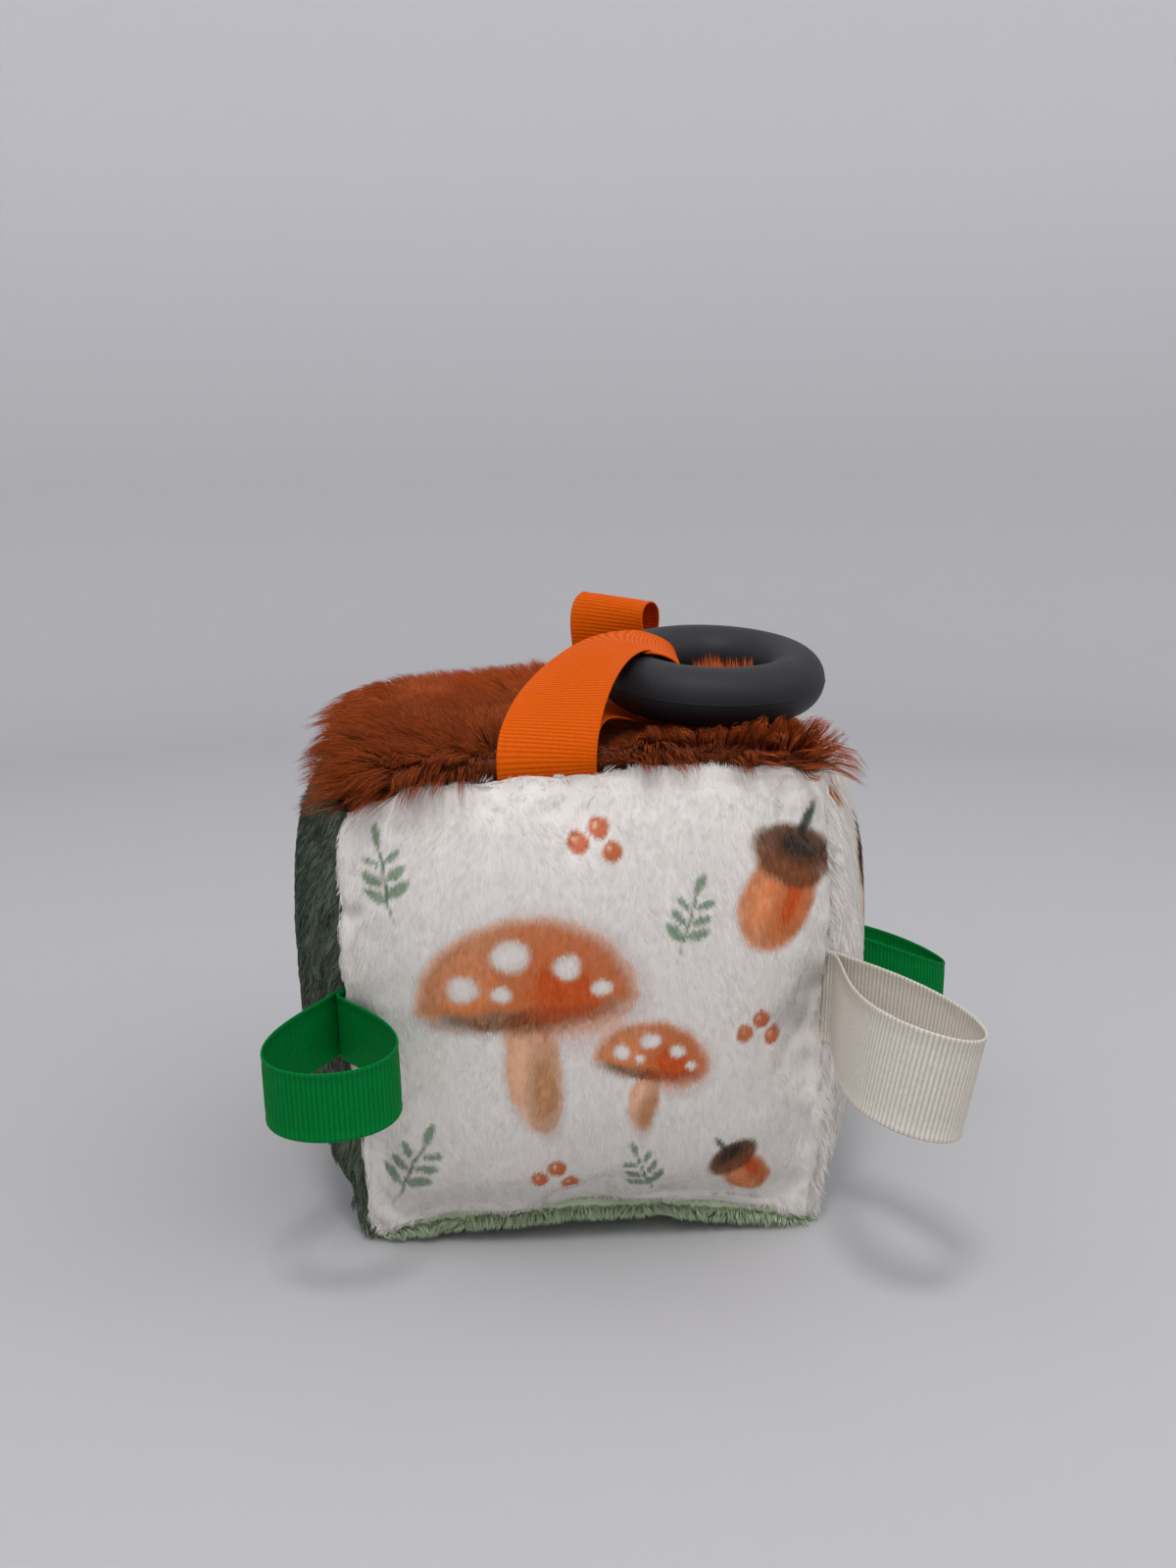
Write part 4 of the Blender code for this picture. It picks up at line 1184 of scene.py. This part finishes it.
def nearest_tone(colours, random):
    """The number of the tone closest to each colour, after a little random lightening."""
    varied = colours * random.uniform(*STRAY_SHARES, (len(colours), 1))
    gaps = ((varied[:, None] ** 0.5 - print_colours[None] ** 0.5) ** 2).sum(axis=-1)
    return gaps.argmin(axis=1)


print("print tones:", len(print_tones))

# %% [markdown]
# ## Brushing the pile
#
# The short plush is brushed downwards, and its hairs lie nearly flat. At the upright seams
# a sewer picks them out over the seam, which hides it. The fur on top is three times as
# long. It sweeps to the back, stands up in a tuft at the front right corner, falls over the
# left edge, and is pressed flat where the ring and its ribbon lie on it. Hairs that would
# run through a ribbon are left out.

# %% Keep hairs off the ribbons and the ring
HAIR_CLEARANCE = 0.0007
RIBBON_MARGIN = 0.006  # hairs farther than this from a ribbon's box aren't tried against it
ribbon_points = np.concatenate(ribbon_samples)
ribbon_tree = kdtree.KDTree(len(ribbon_points))
for number, point in enumerate(ribbon_points):
    ribbon_tree.insert(point, number)
ribbon_tree.balance()


def ribbon_gaps(points):
    """How far points lie from the nearest ribbon, or far where none is near."""
    flat = points.reshape(-1, 3)
    gaps = np.full(len(flat), 1.0)
    near = np.zeros(len(flat), bool)
    for samples in ribbon_samples:
        low, high = samples.min(axis=0) - RIBBON_MARGIN, samples.max(axis=0) + RIBBON_MARGIN
        near |= ((flat > low) & (flat < high)).all(axis=1)
    for index in np.flatnonzero(near):
        gaps[index] = ribbon_tree.find(flat[index])[2]
    return gaps.reshape(points.shape[:-1])


def clear_of_ribbons(paths):
    """True for each hair that stays off every ribbon."""
    halfway = (paths[:, :-1] + paths[:, 1:]) / 2
    tried = np.concatenate((paths, halfway), axis=1)
    return ribbon_gaps(tried).min(axis=1) > HAIR_CLEARANCE


ring_axis = np.array(ring_lean.col[2])
ring_place = np.array(ring_middle)


def under_ring(paths):
    """Presses hairs down where the ring lies on them."""
    offset = paths - ring_place
    height = offset @ ring_axis
    flat = offset - height[..., None] * ring_axis
    beside = np.linalg.norm(flat, axis=-1) - RING_RADIUS
    tube = RING_TUBE / 2 + HAIR_CLEARANCE
    inside = np.abs(beside) < tube
    most = -np.sqrt(np.clip(tube ** 2 - beside ** 2, 0, None))
    drop = np.where(inside & (height > most), height - most, 0)
    return paths - drop[..., None] * ring_axis


# %% Comb short plush
LOCK_SHARE = 0.4  # how far a hair turns to its lock's way
PILE_LENGTH_SHARES = (0.75, 1.15)


def combed_hairs(roots, normals, ways, length, lift, curl, steps, lock_width, pull, random):
    """Paths of hairs that leave the cloth at a slant and bend down along the comb's way."""
    locks, chosen = nearest_lock(roots, lock_width, random)
    ways = unit(ways - normals * (ways * normals).sum(axis=1, keepdims=True))
    ways = unit(ways * (1 - LOCK_SHARE) + ways[chosen][locks] * LOCK_SHARE)
    lengths = (length * random.uniform(*PILE_LENGTH_SHARES, len(roots)))[:, None]
    share = (np.arange(steps) / (steps - 1))[None, :, None]
    rise = normals[:, None] * (lift * share - curl * share ** 2) * lengths[:, None]
    run = ways[:, None] * (share * math.sqrt(1 - lift ** 2)) * lengths[:, None]
    paths = roots[:, None] + rise + run
    tips = paths[:, -1]
    lock_tips = tips[chosen][locks]
    return paths + (lock_tips - tips)[:, None] * pull * share ** 2


# %% Grow the short pile
DOWN = np.array((0.0, 0.0, -1.0))
SHORT_PILES = {
    # square: hairs, radius, length, lift, curl, steps, lock width, pull, wander
    "front": (47000, 0.00008, 0.0017, 0.22, 0.05, 2, 0.0024, 0.25, 0.60),
    "right": (19500, 0.00010, 0.0036, 0.28, 0.08, 3, 0.0030, 0.30, 0.50),
    "left": (19000, 0.00013, 0.0042, 0.55, 0.25, 3, 0.0034, 0.45, 0.45),
    "back": (18000, 0.00013, 0.0040, 0.50, 0.20, 2, 0.0034, 0.40, 0.45),
    "bottom": (90000, 0.00010, 0.0040, 0.80, 0.10, 3, 0.0032, 0.30, 0.60),
}
LIP_WIDTH, LIP_FOOT, LIP_WAVE = 0.0060, 0.0014, 0.0034
LIP_STRAYS_SHARE, LIP_RISE = 0.05, 0.35
BRUSHED_UP = 0.0035  # beside the top seam the pile of the front is brushed up, not down
SEAM_COVER, COVER_SHARE = 0.0035, 1.5  # beside an upright seam the pile is picked out over it
LEAST_HEIGHT = 0.0003  # hairs stay this high over the floor


def ways_of_pile(name, number, roots, normals, wander, random):
    """Picks the roots that grow hairs, and gives each its normal and the way it is combed."""
    if name == "bottom":  # only the rim shows, as a lip under the four sides
        foot = LIP_FOOT + drift(roots, 0.014, 4)[:, 0] * LIP_WAVE
        rim = (seam_distance(roots) < LIP_WIDTH) & (roots[:, 2] > foot)
        rim |= random.random(len(roots)) < LIP_STRAYS_SHARE
        roots = roots[rim]
        normals = unit(outward_over_edges(roots) + (0, 0, LIP_RISE))
        return roots, normals, DOWN * 0.5 + drift(roots, 0.008, number) * wander
    ways = DOWN + drift(roots, 0.012, number) * wander + drift(roots, 0.003, number + 9) * 0.25
    if name == "front":
        ways[roots[:, 2] > SEAM_RISE + BLOCK_SIZE.z - BRUSHED_UP] *= -1
    beside = np.clip(1 - seam_distance(roots) / SEAM_COVER, 0, 1)
    return roots, normals, ways + outward_over_edges(roots) * (COVER_SHARE * beside)[:, None]


piles = {}
for number, (name, row) in enumerate(SHORT_PILES.items()):
    count, radius, length, lift, curl, steps, lock, pull, wander = row
    roots, normals, random = sprout(name, count, 20 + number, margin_rows=1 if name == "bottom" else 0)
    roots, normals, ways = ways_of_pile(name, number, roots, normals, wander, random)
    paths = combed_hairs(roots, normals, ways, length, lift, curl, steps, lock, pull, random)
    paths[..., 2] = np.maximum(paths[..., 2], LEAST_HEIGHT)
    kept = clear_of_ribbons(paths)
    paths, facing = paths[kept], normals[kept] if name in PRINTS else None
    if name in PRINTS:
        tones, finishes = nearest_tone(printed(name, paths.mean(axis=1)), random), print_tones
    else:
        finishes = sage_tones if name == "bottom" else moss_tones
        tones = random.choice(len(finishes), size=len(paths))
    piles[name] = hair_mesh("pile_" + name, paths, radius, tones, finishes, facing)

# %% Where the fur is pressed
FUR_PARTING, FUR_SHOULDER = 0.0008, 0.0065  # flat this far beside a ribbon, then rising over this way
BORE_STAND = 0.8  # share of its height that the fur keeps in the ring's hole


def way_beside(points, start, end):
    """Distance in plan from points to the line between two places."""
    start, along = np.array(start), np.array(end) - np.array(start)
    offset = points[:, :2] - start
    share = np.clip(offset @ along / (along @ along), 0, 1)
    return np.linalg.norm(offset - share[:, None] * along, axis=1)


def in_hole(points):
    """1 for points under the middle of the ring's hole, 0 under its tube and outside it."""
    from_ring = np.linalg.norm(points[:, :2] - ring_place[:2], axis=1)
    return np.clip((RING_DIAMETER / 2 - RING_TUBE - from_ring) / (FUR_SHOULDER / 2), 0, 1)


def fur_stand(points):
    """How much of its length the fur keeps, from 0 to 1: under the ring and ribbons it lies flat."""
    half, (x, y) = BLOCK_SIZE.y / 2, ring_place[:2]
    root, rear = seam_places["ring_ribbon"].seam, seam_places["rear_loop"].seam
    from_ring = np.linalg.norm(points[:, :2] - (x, y), axis=1)
    through_hole = FUR_PARTING + FUR_SHOULDER * BORE_STAND * in_hole(points)
    by_ring = np.maximum(from_ring - RING_DIAMETER / 2, through_hole)
    by_ribbon = way_beside(points, (root.x, -half), (x - RING_RADIUS, y)) - WIDE_RIBBON / 2
    by_loop = way_beside(points, (rear.x - WIDE_RIBBON / 2, half), (rear.x + WIDE_RIBBON / 2, half))
    share = (np.minimum(np.minimum(by_ring, by_ribbon), by_loop) - FUR_PARTING) / FUR_SHOULDER
    share = np.clip(share, 0, 1)
    return share * share * (3 - 2 * share)


# %% Grow the fur on top
FUR_HAIRS, FUR_LENGTH, FUR_RADIUS, FUR_STEPS = 46000, 0.0125, 0.00009, 4
FUR_LENGTH_SHARES, PRESSED_LENGTH_SHARE = (0.58, 1.06), 0.42
FUR_LOCK, FUR_PULL, TUFT_PULL = 0.0048, 0.36, 0.22
FUR_SWEEP = np.array((-0.25, 0.45, 0.0))  # brushed to the back and a little to the left
FUR_EDGE = 0.016  # so far from the seams the fur turns to lean out
LEAN_OUT, LEAN_LEFT, LEAN_RIGHT, LEAN_FRONT = 1.15, 0.42, 0.46, 0.72  # but most edges are brushed up
DROOP_LEFT, DROOP_RIGHT = 0.42, 0.18
FUR_PARTS = (-0.036, -0.016, 0.010, 0.034)  # the pelt is cut at these x, so that each part stays light


def ramp(values, start, end):
    """0 up to the start and 1 from the end on, also where the end is the lower one."""
    return np.clip((values - start) / (end - start), 0, 1)


def grow_fur():
    """The whole pelt: roots, hair paths and a tone for each step of each hair."""
    roots, normals, random = sprout("top", FUR_HAIRS, 77)
    x, y = roots[:, 0], roots[:, 1]
    stand, hole = fur_stand(roots), in_hole(roots)
    near_edge = ramp(seam_distance(roots), FUR_EDGE, 0)
    tuft = ramp(x, 0.026, 0.046) * ramp(y, -0.020, -0.040)  # the front right corner
    crest = ramp(y, 0.012, 0.052) * ramp(np.abs(x + 0.004), 0.052, 0)  # the middle of the back
    outward = outward_over_edges(roots)
    outward[:, 0] *= np.where(outward[:, 0] < 0, LEAN_LEFT, LEAN_RIGHT)
    outward[:, 1] *= np.where(outward[:, 1] < 0, LEAN_FRONT, 1.0)
    lean = (
        FUR_SWEEP * (1 - near_edge)[:, None] + outward * (near_edge * LEAN_OUT)[:, None]
        + drift(roots, 0.020, 5) * 0.50 + drift(roots, 0.006, 6) * 0.35
    )
    lean[:, 2] = 0
    locks, chosen = nearest_lock(roots, FUR_LOCK, random)
    lean = lean * 0.5 + lean[chosen][locks] * 0.5 + random.normal(0, 0.09, lean.shape) * (1, 1, 0)
    lean *= (1 - 0.8 * hole - 0.40 * tuft)[:, None]
    kept_length = PRESSED_LENGTH_SHARE + (1 - PRESSED_LENGTH_SHARE) * stand
    kept_length = kept_length * (1 - 0.08 * tuft + 0.35 * hole)
    lengths = (FUR_LENGTH * random.uniform(*FUR_LENGTH_SHARES, len(roots)) * kept_length)[:, None, None]
    share = (np.arange(FUR_STEPS) / (FUR_STEPS - 1))[None, :, None]
    up = (0.16 + (0.44 + 0.42 * crest + 0.60 * tuft + 0.80 * hole) * stand)[:, None, None]
    droop = (np.where(x < 0, DROOP_LEFT, DROOP_RIGHT) * near_edge * stand)[:, None, None]
    rise = normals[:, None] * up * (1.25 * share - 0.45 * share ** 2) + DOWN * droop * share ** 2
    paths = roots[:, None] + lengths * (rise + lean[:, None] * (0.55 * share + 0.35 * share ** 2))
    tips = paths[:, -1]
    pull = (FUR_PULL + TUFT_PULL * tuft)[:, None, None]
    paths = paths + (tips[chosen][locks] - tips)[:, None] * pull * share ** 2
    paths[:, 1:] = under_ring(paths[:, 1:])
    kept = clear_of_ribbons(paths)
    lit = ramp(y, -0.030, 0.020)  # the fur is paler behind, where its tips catch the light
    # painted light and shade: the fur is paler where it stands up, at the crest, in the tuft, in the ring's
    # hole and behind, and darker where it lies flat
    painted_light = (0.5 * stand + 1.1 * lit + 0.8 * crest + 0.7 * tuft + 1.0 * hole)[kept]
    depth = random.normal(1.95, 0.8, len(painted_light)) + painted_light
    steps = np.arange(FUR_STEPS - 1)[None, :]
    # each step out along a hair takes a lighter tone: painted shade at the roots and painted light at the
    # tips
    tones = np.clip(np.round(depth[:, None] - 0.8 + 0.9 * steps), 0, len(rust_tones) - 1).astype(int)
    return roots[kept], paths[kept], tones


fur_roots, fur_paths, fur_tones = grow_fur()
parts = np.digitize(fur_roots[:, 0], FUR_PARTS)
for part, side in enumerate(("left", "mid_left", "middle", "mid_right", "right")):
    chosen = parts == part
    hairs = fur_paths[chosen], FUR_RADIUS, fur_tones[chosen]
    piles["top_" + side] = hair_mesh("fur_" + side, *hairs, rust_tones)

# %% [markdown]
# ## The fibre fill
#
# Nobody sees the stuffing, but it is part of the block: a ball of polyester fibre that
# stops behind the seam allowances. It is a rounded box with a lumpy, fluffy surface.

# %% Stuff the block
FILL_CELLS, FLUFF = 24, 0.0012
FILL_POWER = 3.2  # a higher power gives a squarer ball


def stuffing():
    """A rounded box with lumps, inside the solid's own box."""
    low, high = (Vector(corner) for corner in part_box("fibre_fill"))
    middle, half = (low + high) / 2, (high - low) / 2
    form = bmesh.new()
    bmesh.ops.create_cube(form, size=2)
    bmesh.ops.subdivide_edges(form, edges=form.edges, cuts=FILL_CELLS - 1, use_grid_fill=True)
    for vert in form.verts:
        way = vert.co.normalized()
        size = sum(abs(part) ** FILL_POWER for part in way) ** (-1 / FILL_POWER)
        lump = 1 - FLUFF / half.x * (1 + noise.noise(way * 9) + 0.6 * noise.noise(way * 30))
        vert.co = middle + Vector(part * size * lump * reach for part, reach in zip(way, half))
    mesh = bpy.data.meshes.new("fibre_stuffing")
    form.to_mesh(mesh)
    form.free()
    mesh.shade_smooth()
    ball = bpy.data.objects.new("fibre_stuffing", mesh)
    bpy.context.collection.objects.link(ball)
    return ball


fill = stuffing()
fill.data.materials.append(plush_cloth("polyester fibre", screen(238, 238, 236), combed=(1, 1, 1)))
print("fill points:", len(fill.data.vertices))

# %% [markdown]
# ## Each piece in place of its plain solid
#
# Every soft piece takes the place of its plain solid, which is hidden. The squares, pile,
# fill and ring also ride on that solid's body. The ribbons cross a joint: their sewn ends
# stay with the block and the loops turn. Here they are only fixed where they lie, and the
# ring ribbon folds back over the fur at the mouth of its seam.

# %% Squares, pile and fill
for name, square in plush.items():
    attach(square, "block")
    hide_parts("panel_" + name)
for name, pile in piles.items():
    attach(pile, "block")
    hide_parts("panel_" + name.split("_")[0])
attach(fill, "block")
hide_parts("fibre_fill")
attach(ring, "teething_ring")
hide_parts("teething_ring")

# %% Ribbons
for name, ribbon in ribbons.items():
    place = seam_places[name]
    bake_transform(ribbon)
    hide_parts(name, name + "_tail")
    print(ribbon.name, "cut", [round(size * 1000, 1) for size in ribbon_cuts[name]], "mm")
